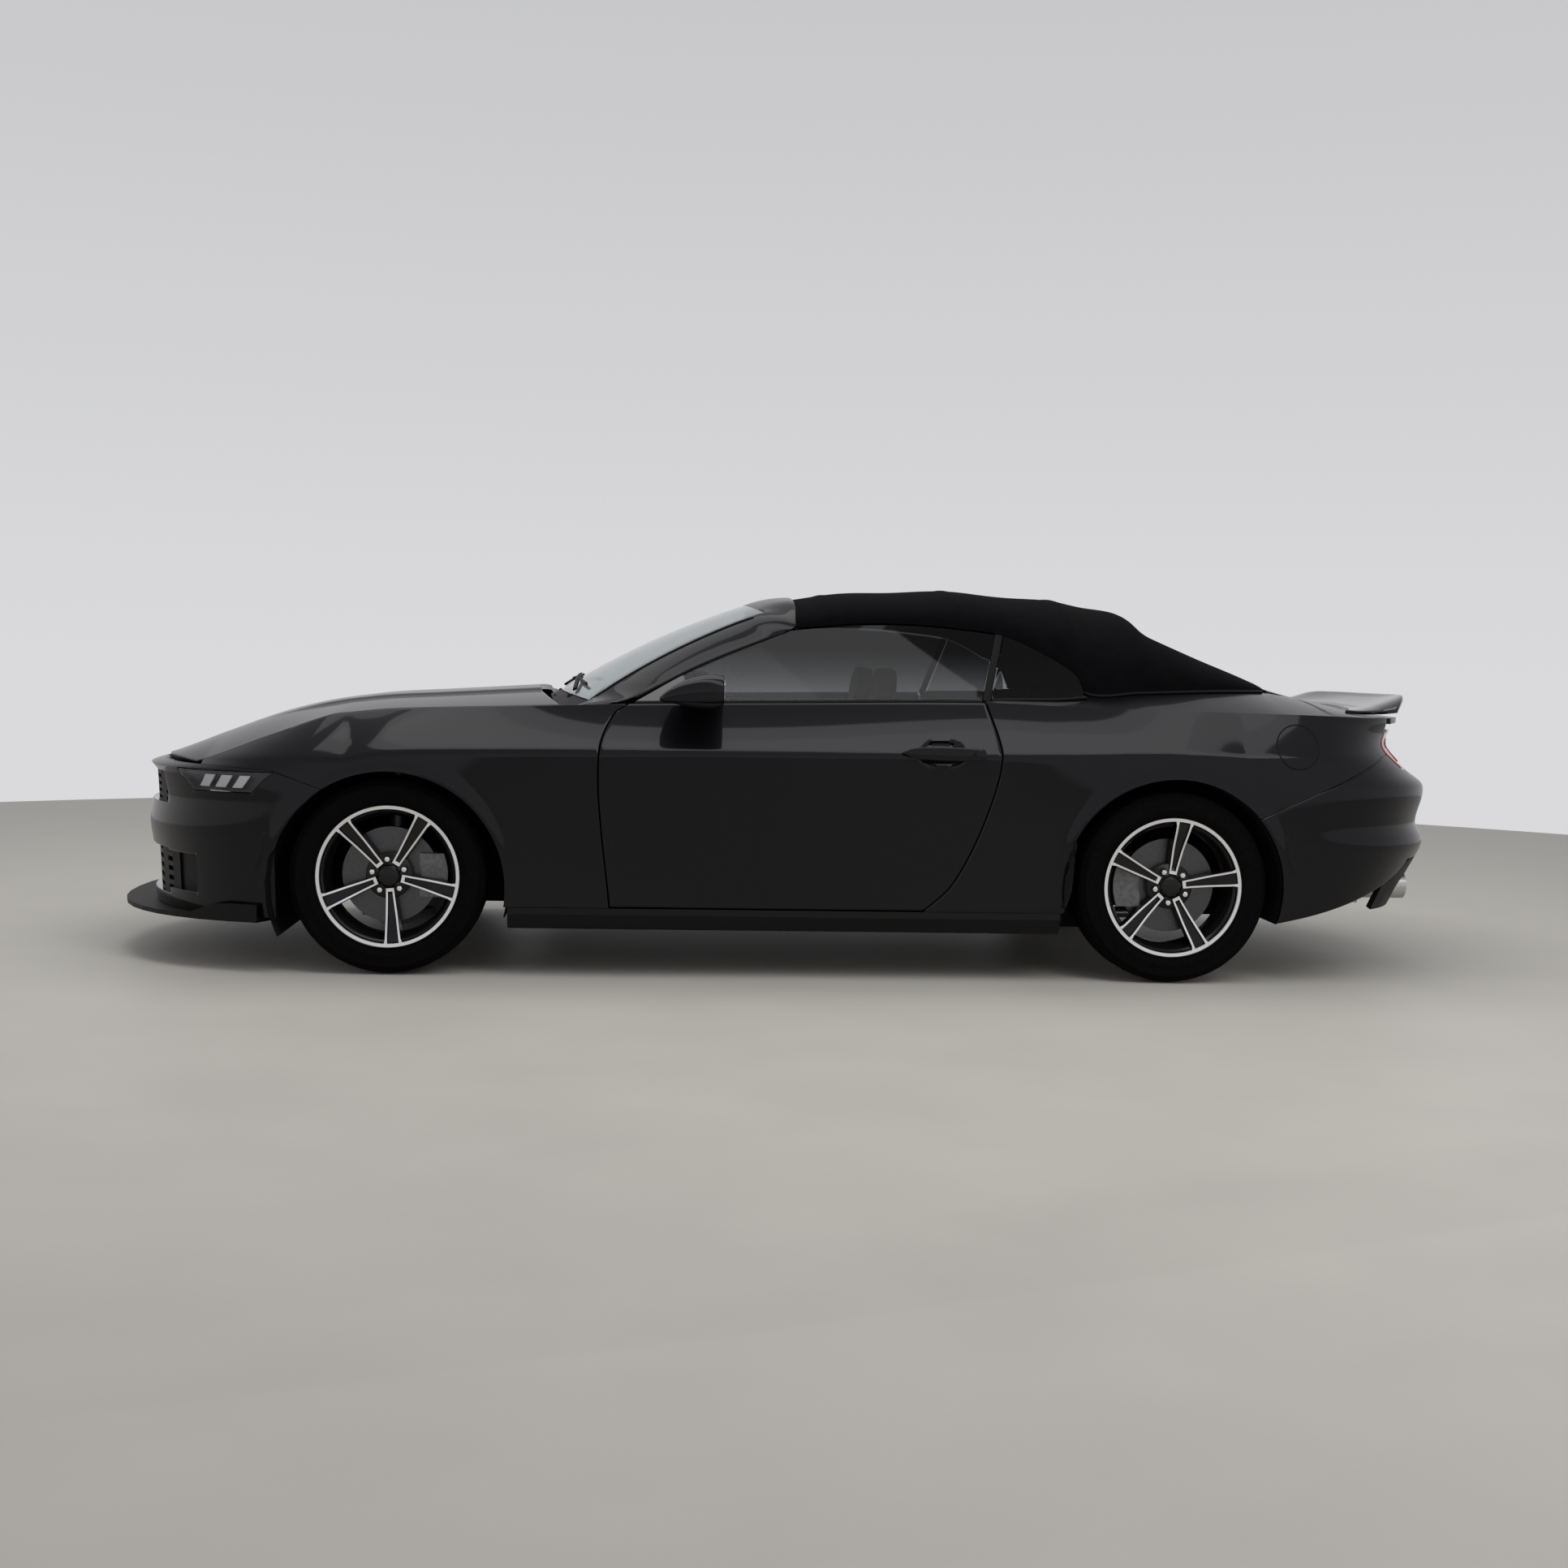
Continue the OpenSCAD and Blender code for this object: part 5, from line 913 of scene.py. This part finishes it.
def header_pair(s):
    top = screen_at(1.0, s)
    return [roof_at(roof_front_x, roof_share(top[1] * 1.155)) + [0.6, 0, 0], top + [-seam, 0, seam]]


wing_foot = [[x, float(crest_y(x)) - d, float(crest(x)) - d + 2] for x, d in ((xf - 700, 8), (xf - 610, 12))]
pairs = [wing_foot] + [post_pair(k / 6) for k in range(6)] + [header_pair(s) for s in (1.0, 0.8, 0.55, 0.3)]
pairs = np.array(pairs)
pairs = np.concatenate([pairs, [header_pair(0.0)], mirrored(pairs)])
steps = np.linspace(0, len(pairs) - 1, 10 * (len(pairs) - 1) + 1)
outer, inner = through(pairs[:, 0], steps), through(pairs[:, 1], steps)
v = edged(14, 0.03)[None, :, None]
g = mix(outer[:, None], inner[:, None], v)
g = off(g, 9 * 4 * v * (1 - v))
near = (g[..., 0] < corner_f[0] + 60) & (g[..., 0] > corner_f[0] - 300)
g[..., 2] = np.where(near, np.maximum(g[..., 2], crest(g[..., 0]) + 7), g[..., 2])
one_shell(g, 30, "screen_frame_skin", BODY, [PAINT, TRIM], "paint", "windshield_frame", lip=1.2, inner_mat=1)
m = Mesh()
k = np.arange(12, 66)
both_sweeps(m, outer[k] + [0, 3, -5], oval(5, 5, 10), ups=(0, 1, 0.4))
both_sweeps(m, mix(outer[k], inner[k], 0.94) + [0, 0, 3], oval(6, 3, 10), ups=(0.4, 0.2, 0.9))
m.make("screen_seals", BODY, [SEAL], "trim")

# Fabric roof, stretched over its bows, with the rear window let into it
BOWS = [xr + 1200, xr + 735, xr + 320, xr + 60]
WINDOW_X, WINDOW_A = (xr - 320, xr - 20), 0.5
CROWN_DROP = 10


def window_drop(p):
    """How far the crown comes down to a flat panel round the rear window."""
    x = p[..., 0]
    over = np.maximum(p[..., 2] - roof_at(x, WINDOW_A)[..., 2], 0)
    rise, fall = smooth(x, WINDOW_X[0] - 150, WINDOW_X[0]), smooth(x, WINDOW_X[1], WINDOW_X[1] + 90)
    return 0.85 * over * rise * (1 - fall)


def fabric(x, a):
    p = roof_at(x, a)
    sag = 0
    for b0, b1 in zip(BOWS, BOWS[1:]):
        t = np.clip((p[..., 0] - b1) / (b0 - b1), 0, 1)
        sag = sag + np.sin(np.pi * t) ** 2
    p[..., 2] -= window_drop(p) + (7 * sag + CROWN_DROP) * (1 - np.abs(a) ** 3)
    for b in BOWS:
        p[..., 2] += 3 * np.exp(-((p[..., 0] - b) / 16) ** 2) * (1 - np.abs(a) ** 4)
    return p


def steps_through(*runs):
    """Even steps through runs of (from, to, count) that share their ends."""
    runs = [np.linspace(*run) for run in runs]
    return np.concatenate(runs[:1] + [run[1:] for run in runs[1:]])


xs = steps_through((roof_front_x, WINDOW_X[1], 150), (WINDOW_X[1], WINDOW_X[0], 40),
                   (WINDOW_X[0], xr - 500, 26))
a = steps_through((1, WINDOW_A, 30), (WINDOW_A, -WINDOW_A, 70), (-WINDOW_A, -1, 30))
g = fabric(*net(xs, a))
mid_x, mid_a = (xs[:-1] + xs[1:]) / 2, (a[:-1] + a[1:]) / 2
in_x = (mid_x < WINDOW_X[1]) & (mid_x > WINDOW_X[0])
keep = ~(in_x[:, None] & (np.abs(mid_a) < WINDOW_A)[None, :])
m = Mesh()
m.grid(g, 0, keep)
roof = m.make("fabric_roof", BODY, [CLOTH], "roof_fabric", "soft_top")
m = Mesh()
lining = off(g, -14)[::3, ::3]
m.grid(lining[::-1], 0, keep[::3, ::3][:len(lining) - 1, :len(lining[0]) - 1][::-1])
m.make("roof_lining_skin", BODY, [LINING], "roof_fabric")
m = Mesh()
p = roof_at(*net(np.linspace(WINDOW_X[1] - 1, WINDOW_X[0] + 1, 30), np.linspace(0.495, -0.495, 60)))
p[..., 2] -= window_drop(p) + CROWN_DROP
m.shell(off(p, -2.0), 4, lip=0.5)


# Side glass
def glass_top_z(x):
    return np.where(x > roof_front_x, curve(POST, 1, x), curve(ROOF, 2, x)) - 6


def side_glass(low_x, top_x, foot, top_gap, n=90):
    u, v = net(np.linspace(0, 1, n), np.linspace(0, 1, 30))
    xb, xt = mix(*low_x, u), mix(*top_x, u)
    x, z = mix(xb, xt, v), mix(foot(xb) + 1.2, glass_top_z(xt) + top_gap, v)
    return xyz(x, glass_y(x, z), z)


def strip_z(x):
    """Height of the quarter's upper strip below the glass."""
    c, s = skin(x, crest(x)), shelf_at(x)
    t = np.clip((c[..., 1] - glass_y(s[..., 0], s[..., 2])) / (c[..., 1] - s[..., 1]), 0, 1)
    return mix(c[..., 2], s[..., 2], t) + 10 * t * (1 - t)


both(m, side_glass((xr + 640, xr + 304), (xr + 574, xr + 318), lambda x: strip_z(x) + 0.6, 5, 50), 5, **THIN)
m.make("rear_glass_panes", BODY, [TINT_PAINTED_SHADE], "tinted_glass", "rear_glass")
q = side_glass((xf - 860, xr + 676), (xf - 890, xr + 606), crest, 0)
for side, name in SIDES:
    one_shell(on_side(q, side), 5, "door_pane_" + name, "door_" + name, [TINT_PAINTED_SHADE], "tinted_glass",
              "door_glass_" + name, **THIN)

# Seals: the strip between door and quarter glass, the quarter glass's foot and the roof's foot
m = Mesh()
v = np.linspace(0, 1, 30)
x = mix(xr + 659, xr + 591, v)
z = mix(float(strip_z(np.array([xr + 650.0]))[0]) - 4, float(glass_top_z(xr + 591.0)) + 2, v)
both_sweeps(m, xyz(x, glass_y(x, z) - 1, z), oval(14, 4, 12, 4), ups=(0, 1, 0.6))
x = np.linspace(xr + 640, xr + 300, 40)
both_sweeps(m, xyz(x, glass_y(x, strip_z(x)) + 4, strip_z(x) + 2), oval(8, 5, 10), ups=(0, 0.3, 1))
x = np.linspace(roof_foot_x + 6, roof_turn_x, 60)
both_sweeps(m, xyz(x, deck_y(x) + 3, deck_z(x) + 4), oval(8, 5, 10), ups=(0, 0.3, 1))
m.make("body_seals", BODY, [SEAL], "trim")

# Sail panels and belt seals on the doors
sail = patch([(xf - 832, 0), (xf - 1034, 0), (xf - 1000, 1), (xf - 840, 1)], 30, 12)
x, v = sail[..., 0], sail[..., 1]
z = mix(crest(x) + 3, np.maximum(curve(POST, 1, x) - 5, crest(x) + 4), v)
sail = xyz(x, glass_y(x, z) + 4, z)
x = np.linspace(xf - 836, xr + 676, 90)
belt = xyz(x, glass_y(x, crest(x)) + 8, crest(x) + 3)
for side, name in SIDES:
    m = Mesh()
    m.shell(on_side(sail, side), 4, lip=0.8)
    m.sweep(on_side(belt, side), oval(9, 6, 12), (0, 0.3 * side, 1), mat=1)
    m.make("belt_trim_" + name, "door_" + name, [GLOSS, SEAL], "trim")


# Wheels
def dish(r):
    return 86 - 14 * np.clip(1 - (r - 60) / (rim_r - 90), 0, 1) ** 1.3


def at_wheel(x, y):
    s = 1 if y > 0 else -1
    return lambda p: xyz(x + p[..., 0], y + s * p[..., 2], axle_h - p[..., 1])


def tyre(place):
    m = Mesh()
    side = [(rim_r - 9.4, 102), (rim_r + 4, 107.5), (rim_r + 12, 112), (rim_r + 24, 114.4),
            (rim_r + 27, 115.6), (rim_r + 30, 114.8), (rim_r + 48, 117.3), (rim_r + 60, 116.5),
            (rim_r + 63, 117.2), (rim_r + 66, 116),
            (tyre_r - 24, 112), (tyre_r - 12, 104), (tyre_r - 6, 95)]
    m.lathe(side, 160, 0, place)
    m.lathe([(r, -h) for r, h in side[::-1]], 160, 0, place)
    m.lathe([(rim_r - 9.4, -102), (rim_r - 9.4, 102)], 96, 0, place)
    n, w = 420, np.linspace(-95, 95, 39)
    crown = tyre_r - 6 * (np.abs(w) / 95) ** 3
    groove = np.zeros_like(w)
    for c in (-52, -18, 18, 52):
        groove = np.maximum(groove, np.abs(w - c) < 5.1)
    k = np.arange(n)[:, None]
    slant = np.floor(k + np.sign(w)[None] * np.abs(w)[None] / 14).astype(int)
    cross = (slant % 7 == 0) & (np.abs(w)[None] > 22)
    r = crown[None] - 7 * np.maximum(groove[None], 0.75 * cross)
    a = 2 * np.pi * k / n
    m.grid(place(xyz(r * np.cos(a), r * np.sin(a), w))[:, ::-1], 0, loop_u=True)
    return m


# Rim: material, then rings of (reach past the rim's radius, distance out from its middle)
RIM_RINGS = (
    (1, ((-1, 111.5), (0, 109), (-10, 102), (-10, 74), (-30, 52), (-30, -40), (-10, -72), (-10, -103),
         (0, -106), (0, -112))),
    (1, ((-8, -112), (-18, -98), (-38, -36), (-38, 48), (-31, 62), (-27, 84))),
    (1, ((-27, 84), (-25, 87), (-19, 92))), (1, ((-19, 92), (-15.5, 104))), (0, ((-15.5, 104), (-14, 106.5))),
    (0, ((-14, 106.5), (-3, 107.5))), (1, ((-3, 107.5), (-1, 111.5))))
SPOKES, BOLT_RADIUS = 5, 57.15


def rim(place, turn):
    m = Mesh()
    for mat, ring in RIM_RINGS:
        m.lathe([(rim_r + d, h) for d, h in ring], 144, mat, place)
    r = np.linspace(44, rim_r - 13, 34)
    top = dish(r) + 20 * smooth(r, 120, rim_r - 14)
    w = np.interp(r, [44, 80, rim_r - 30, rim_r - 13], [15, 17, 28, 34])
    rib = np.interp(r, [44, rim_r - 30, rim_r - 13], [7.5, 8.5, 14])
    left = np.stack([np.stack(q, -1) for q in (
        (-w - 3, top - 34), (-w, top - 5), (-w + 1.5, top), (-w + rib, top), (-w + rib + 2.5, top - 9))], 1)
    sec = np.concatenate([left, (left * [-1, 1])[:, ::-1]], 1)
    for i in range(SPOKES):
        c, s = math.cos(math.radians(turn + 72 * i)), math.sin(math.radians(turn + 72 * i))
        across = sec[..., 0]
        p = place(xyz(r[:, None] * c - across * s, r[:, None] * s + across * c, sec[..., 1]))
        for j in range(sec.shape[1] - 1):
            m.grid(p[:, j:j + 2], 0 if j in (2, 6) else 1)
        m.grid(p[:3, [3, 6]], 0)
        m.add(p[-1], [tuple(range(sec.shape[1]))], 1)
    m.lathe([(80, 45), (80, 58), (76, 62), (44, 66), (36, 74), (34, 80), (30, 83), (14, 84), (0.1, 84)],
            80, 1, place)
    for i in range(SPOKES):
        a = math.radians(turn + 36 + 72 * i)
        bolt = BOLT_RADIUS * np.array([math.cos(a), math.sin(a), 0])
        at = lambda p, bolt=bolt: place(p + bolt)
        m.lathe([(14, 64), (14, 66), (11.5, 66.5)], 24, 1, at)
        m.lathe([(11, 60), (11, 80), (9, 83), (0.1, 84.5)], 6, 2, at)
    return m


for end, x, y, turn in (("front_", xf, front_y, 95), ("rear_", xr, rear_y, 189)):
    for side, name in SIDES:
        name, place = end + name, at_wheel(x, side * y)
        tyre(place).make("tyre_tread_" + name, "wheel_" + name, [RUBBER], "tyre", "tyre_" + name, sharp=30)
        rim(place, turn).make("alloy_" + name, "wheel_" + name, [MACHINED, POCKET, CHROME], "alloy",
                              "rim_" + name)


def lump(m, stations, mat=0, power=2.6, fine=24, n=28):
    """Smooth lump along x through round stations of (x, y, z, half width, half height)."""
    at = through(stations, np.linspace(0, len(stations) - 1, fine))[:, None]
    o = oval(1, 1, n, power)
    m.tube(at[..., :3] + o[:, :1] * at[..., 3:4] * [0, 1, 0] + o[:, 1:] * at[..., 4:5] * [0, 0, 1], mat)


# Door mirrors: material, squareness, steps and stations of shell, glass and lower cover, from the
# mirror's place
mx, my, mz = xf - 1030, hw + 12, belt_h + 38
MIRROR_LUMPS = (
    (0, 2.8, 24, [(-106, -12, 2, 70, 44), (-100, -12, 2, 76, 50), (-60, -10, 2, 80, 53), (-5, -8, -2, 72, 48),
                  (50, -2, -12, 56, 35), (92, 5, -24, 34, 19), (112, 10, -30, 8, 6)]),
    (2, 2.8, 4, [(-107, -12, 2, 64, 39), (-104, -12, 2, 64, 39)]),
    (1, 2.6, 24, [(-96, -12, -44, 60, 12), (-40, -14, -46, 66, 15), (30, -10, -40, 54, 12),
                  (84, 0, -36, 26, 6)]))
for side, name in SIDES:
    m = Mesh()
    for mat, power, fine, stations in MIRROR_LUMPS:
        lump(m, np.add(stations, [mx, my, mz, 0, 0]), mat, power, fine)
    foot = (mx + 4, float(crest_y(mx)) - 16, float(crest(mx - 10)) + 4)
    m.sweep([(mx - 10, my - 50, mz - 30), (mx - 4, my - 84, mz - 38), foot], oval(40, 12, 20, 2.6), mat=1,
            ups=(0, 0.3, 1))
    m.flip(side)
    m.make("mirror_shell_" + name, "door_" + name, [PAINT, TRIM, MIRROR], "paint", "mirror_" + name)

# Door handles: a blade on two feet, with its lock. Blade: share of its length, half height, reach from
# the skin
HANDLE_X = (xr + 966, xr + 676)
BLADE = ((0, 2, 9), (0.04, 7, 12), (0.16, 19, 19), (0.42, 23, 22), (0.7, 23, 22), (0.93, 21, 18),
         (0.985, 16, 13), (1, 8, 11))


def handle_at(share):
    x = mix(*HANDLE_X, share)
    return x, float(skin_y(x, handle_z))


for side, name in SIDES:
    m = Mesh()
    stations = []
    for share, up, out in BLADE:
        x, y = handle_at(share)
        stations.append((x, y + out, handle_z + 2 - 3 * share, 5.5, up))
    lump(m, stations, 0, 2.6, 40)
    for share, up in ((0.1, 8), (0.9, 14)):
        x, y = handle_at(share)
        lump(m, [(x + 16, y + 4, handle_z, 10, up), (x - 16, y + 4, handle_z, 10, up)], 0, 2.6, 4)
    x, y = handle_at(0.86)
    m.lathe([(8, -4), (8, 0.6), (6.5, 1.4), (0.1, 1.4)], 24, 1,
            lambda q: xyz(x + q[..., 0], y + 25 + q[..., 2], handle_z + 2 - q[..., 1]))
    m.flip(side)
    m.make("door_handle_" + name, "door_" + name, [PAINT, TRIM], "paint")

# Fuel flap's round shut line on the left quarter, drawn as a dark ring: painted shade of the gap
m = Mesh()
FLAP_X, FLAP_Z, FLAP_R = xr - 431, 836, 77
a = np.linspace(0, 2 * np.pi, 72, endpoint=False)
ring = skin(FLAP_X + FLAP_R * np.cos(a), FLAP_Z + FLAP_R * np.sin(a))
# Dark seal-coloured ring as painted shade in the flap's gap
m.sweep(ring, oval(2.6, 1.6, 8), (0, 1, 0), closed=True)
m.make("fuel_flap_gap_shade", BODY, [SEAL], "trim")

# Wipers parked along the foot of the windscreen, low enough for the raised hood to clear them
m = Mesh()
WIPER_UP = (0.5, 0, 0.9)
for s0, s1, pivot in ((0.74, -0.02, 0.66), (0.02, -0.72, -0.06)):
    rest = screen_at(np.linspace(0.075, 0.115, 30), np.linspace(s0, s1, 30)) + [3, 0, 7]
    m.sweep(rest, oval(3, 6, 8), WIPER_UP)
    m.sweep(rest + [2, 0, 5], oval(6, 3, 8), WIPER_UP)
    foot = screen_at(-0.005, pivot)
    k = np.linspace(0, 1, 12)
    arm = mix(screen_at(0.02, pivot) + [0, 0, 9], rest[14] + [2, 0, 9], k[:, None])
    arm[:, 2] += 3 * np.sin(np.pi * k)
    m.sweep(arm, oval(9, 5, 10, 3), WIPER_UP)
    m.lathe([(13, -24), (13, -4), (10, 1), (0.1, 2)], 24, 0, lambda q, f=foot: f + q)
m.make("wipers", BODY, [TRIM], "trim")

# Wheel-arch liners below, behind and outside the tub's own
m = Mesh()
for x0, (r, z0), y0, low in ((xf, arch_f, 462, (-25, -14)), (xr, arch_r, 602, (-17, -17))):
    r = r + 5
    for a0, a1, end in ((low[0], 2, 1), (178, 180 - low[1], -1)):
        a, y = net(np.linspace(a0, a1, 16), np.linspace(y0, hw - 62, 4))
        both(m, xyz(x0 + r * np.cos(rad(a)), y, z0 + r * np.sin(rad(a))), 5, **THIN)
        wall = [(x0 + end * d, y0, z) for d, z in ((r - 4, 205), (160, 205), (160, 474), (r - 4, 474))]
        both(m, patch(wall, 6, 6), 5, **THIN)
    a, reach = net(np.linspace(2, 178, 60), np.linspace(-130, -24, 4))
    x, z = x0 + (r - 3) * np.cos(rad(a)), z0 + (r - 3) * np.sin(rad(a))
    both(m, xyz(x, skin_y(x, z) + reach, z), 5, **THIN)
m.make("arch_liners", BODY, [UNDER], "underbody")


# Seats: padded forms from round sections along a line in the car's length
def pad(m, stations, y, pleats=0, bolster=0.0, power=3.4, n=48, fine=64):
    """Stations are (x, z, half width, half thickness); pleats run across, bolsters stand up at the sides."""
    at = through(stations, np.linspace(0, len(stations) - 1, fine))
    d = np.gradient(at[:, :2], axis=0)
    d /= np.linalg.norm(d, axis=1, keepdims=True) + 1e-9
    o = oval(1, 1, n, power)
    across, up = o[None, :, 0], o[None, :, 1]
    thick = at[:, 3:4] * (1 + bolster * smooth(np.abs(across), 0.55, 0.85) * (up > 0))
    if pleats:
        run = np.linspace(0, 1, fine)[:, None]
        seams = np.exp(-((((run * pleats) % 1) - 0.5) / 0.09) ** 2) * (np.abs(across) < 0.6)
        thick = thick * (1 - 0.06 * seams)
    m.tube(xyz(at[:, :1] - d[:, 1:2] * up * thick, y + across * at[:, 2:3],
               at[:, 1:2] + d[:, :1] * up * thick))


DRIVER_Y = 388
cushions, backs, rests, bases = Mesh(), Mesh(), Mesh(), Mesh()
for y in (DRIVER_Y, -DRIVER_Y):
    pad(cushions, [(-225, 355, 190, 14), (-215, 356, 238, 48), (-120, 354, 252, 62), (120, 362, 254, 64),
                   (250, 372, 250, 60), (308, 366, 240, 44), (320, 362, 190, 14)], y, 5, 0.28)
    pad(backs, [(-330, 882, 120, 12), (-327, 872, 190, 40), (-306, 800, 224, 50), (-255, 650, 250, 58),
                (-200, 500, 248, 60), (-168, 410, 226, 50), (-160, 392, 180, 16)], y, 6, 0.3)
    pad(rests, [(-374, 1082, 70, 8), (-373, 1074, 112, 32), (-366, 1020, 130, 42), (-356, 950, 122, 40),
                (-352, 912, 96, 28), (-351, 906, 60, 8)], y, power=2.8)
    for d in (-45, 45):
        bases.sweep([(-350, y + d, 840), (-354, y + d, 925)], oval(7, 7, 14), ups=(1, 0, 0), mat=1)
    pad(bases, [(-190, 252, 200, 60), (-180, 252, 215, 66), (280, 252, 215, 66), (290, 252, 205, 60)], y,
        fine=12)
cushions.make("front_seat_cushions", BODY, [SEAT], "seat_fabric", "front_seats")
backs.make("front_seat_backs", BODY, [SEAT], "seat_fabric")
rests.make("front_headrests", BODY, [LEATHER], "seat_fabric")
bases.make("front_seat_bases", BODY, [CABIN, STEEL], "cabin_plastic")
m = Mesh()
pad(m, [(-930, 432, 480, 20), (-920, 434, 540, 46), (-760, 440, 556, 56), (-620, 446, 554, 58),
        (-552, 438, 530, 44), (-542, 434, 480, 18)], 0, 4, n=64)
pad(m, [(-1050, 932, 460, 10), (-1046, 922, 520, 30), (-1030, 840, 552, 44), (-995, 660, 556, 52),
        (-955, 500, 530, 46), (-950, 486, 480, 16)], 0, 5, n=64)
m.make("rear_seat_pad", BODY, [SEAT], "seat_fabric", "rear_seat")


def placed(name, data, x, y, z, at):
    """Object with the given axes and place."""
    ob = bpy.data.objects.new(name, data)
    ob.matrix_world = Matrix([*np.column_stack([x, y, z, at]).tolist(), [0, 0, 0, 1]])
    scene.collection.objects.link(ob)
    return ob


# Camera at the photograph's angle; the focal length is in pixels of the photograph
CAMERA_AT, yaw, pitch, roll, focal = (0.4932, 7.6, 1.0977), -0.0685, -0.0625, 0.0205, 2401.2
PHOTO_WIDTH, SENSOR = 1932, 36
f = np.array([math.sin(yaw) * math.cos(pitch), -math.cos(yaw) * math.cos(pitch), math.sin(pitch)])
r = np.cross(f, [0, 0, 1])
r /= np.linalg.norm(r)
u = np.cross(r, f)
r, u = math.cos(roll) * r + math.sin(roll) * u, -math.sin(roll) * r + math.cos(roll) * u
cam = placed("camera", bpy.data.cameras.new("camera"), r, u, -f, CAMERA_AT)
cam.data.sensor_width = SENSOR
cam.data.lens = focal / PHOTO_WIDTH * SENSOR
cam.data.clip_end = 200
scene.camera = cam

# Floor, light and sky
floor = Mesh()
floor.lathe([(0.01, -0.5), (3000, -0.5), (8200, -0.5)], 96)
floor.build("floor", [material("floor_pale", (0.535, 0.515, 0.465), 0.5, 0, 0.03, 2, spec=0.2)])
world = bpy.data.worlds.new("studio")
scene.world = world
world.use_nodes = True
nt = world.node_tree
sep = add_node(nt, "SeparateXYZ", Vector=add_node(nt, "TexCoord").outputs["Generated"])
sky = color_ramp(nt, sep.outputs["Z"], (0.0, (0.7, 0.7, 0.72)), (1.0, (0.36, 0.36, 0.37)),
                 (0.4, (0.54, 0.54, 0.56)))
feed(nt, nt.nodes["Background"], Color=sky, Strength=1.0)


def lamp(name, where, to, size, power, along=(1, 0, 0)):
    data = bpy.data.lights.new(name, "AREA")
    data.shape, data.size, data.size_y, data.energy = "RECTANGLE", size[0], size[1], power
    z = np.subtract(where, to)
    z = z / np.linalg.norm(z)
    x = np.array(along) - np.dot(along, z) * z
    x /= np.linalg.norm(x)
    placed(name, data, x, np.cross(z, x), z, where)


lamp("ceiling", (0, -0.9, 5.0), (0, -0.9, 0), (7.0, 2.4), 75)
STRIP_AT, STRIP_TO, STRIP_ALONG = (-0.45, 2.95, 4.8), (-0.1, 1.0, 0.8), (-0.77, 0.64, 0)
lamp("strip_core", STRIP_AT, STRIP_TO, (8.0, 0.8), 50, STRIP_ALONG)
lamp("strip_soft", STRIP_AT, STRIP_TO, (8.6, 2.0), 108, STRIP_ALONG)
scene.view_settings.view_transform = "Standard"
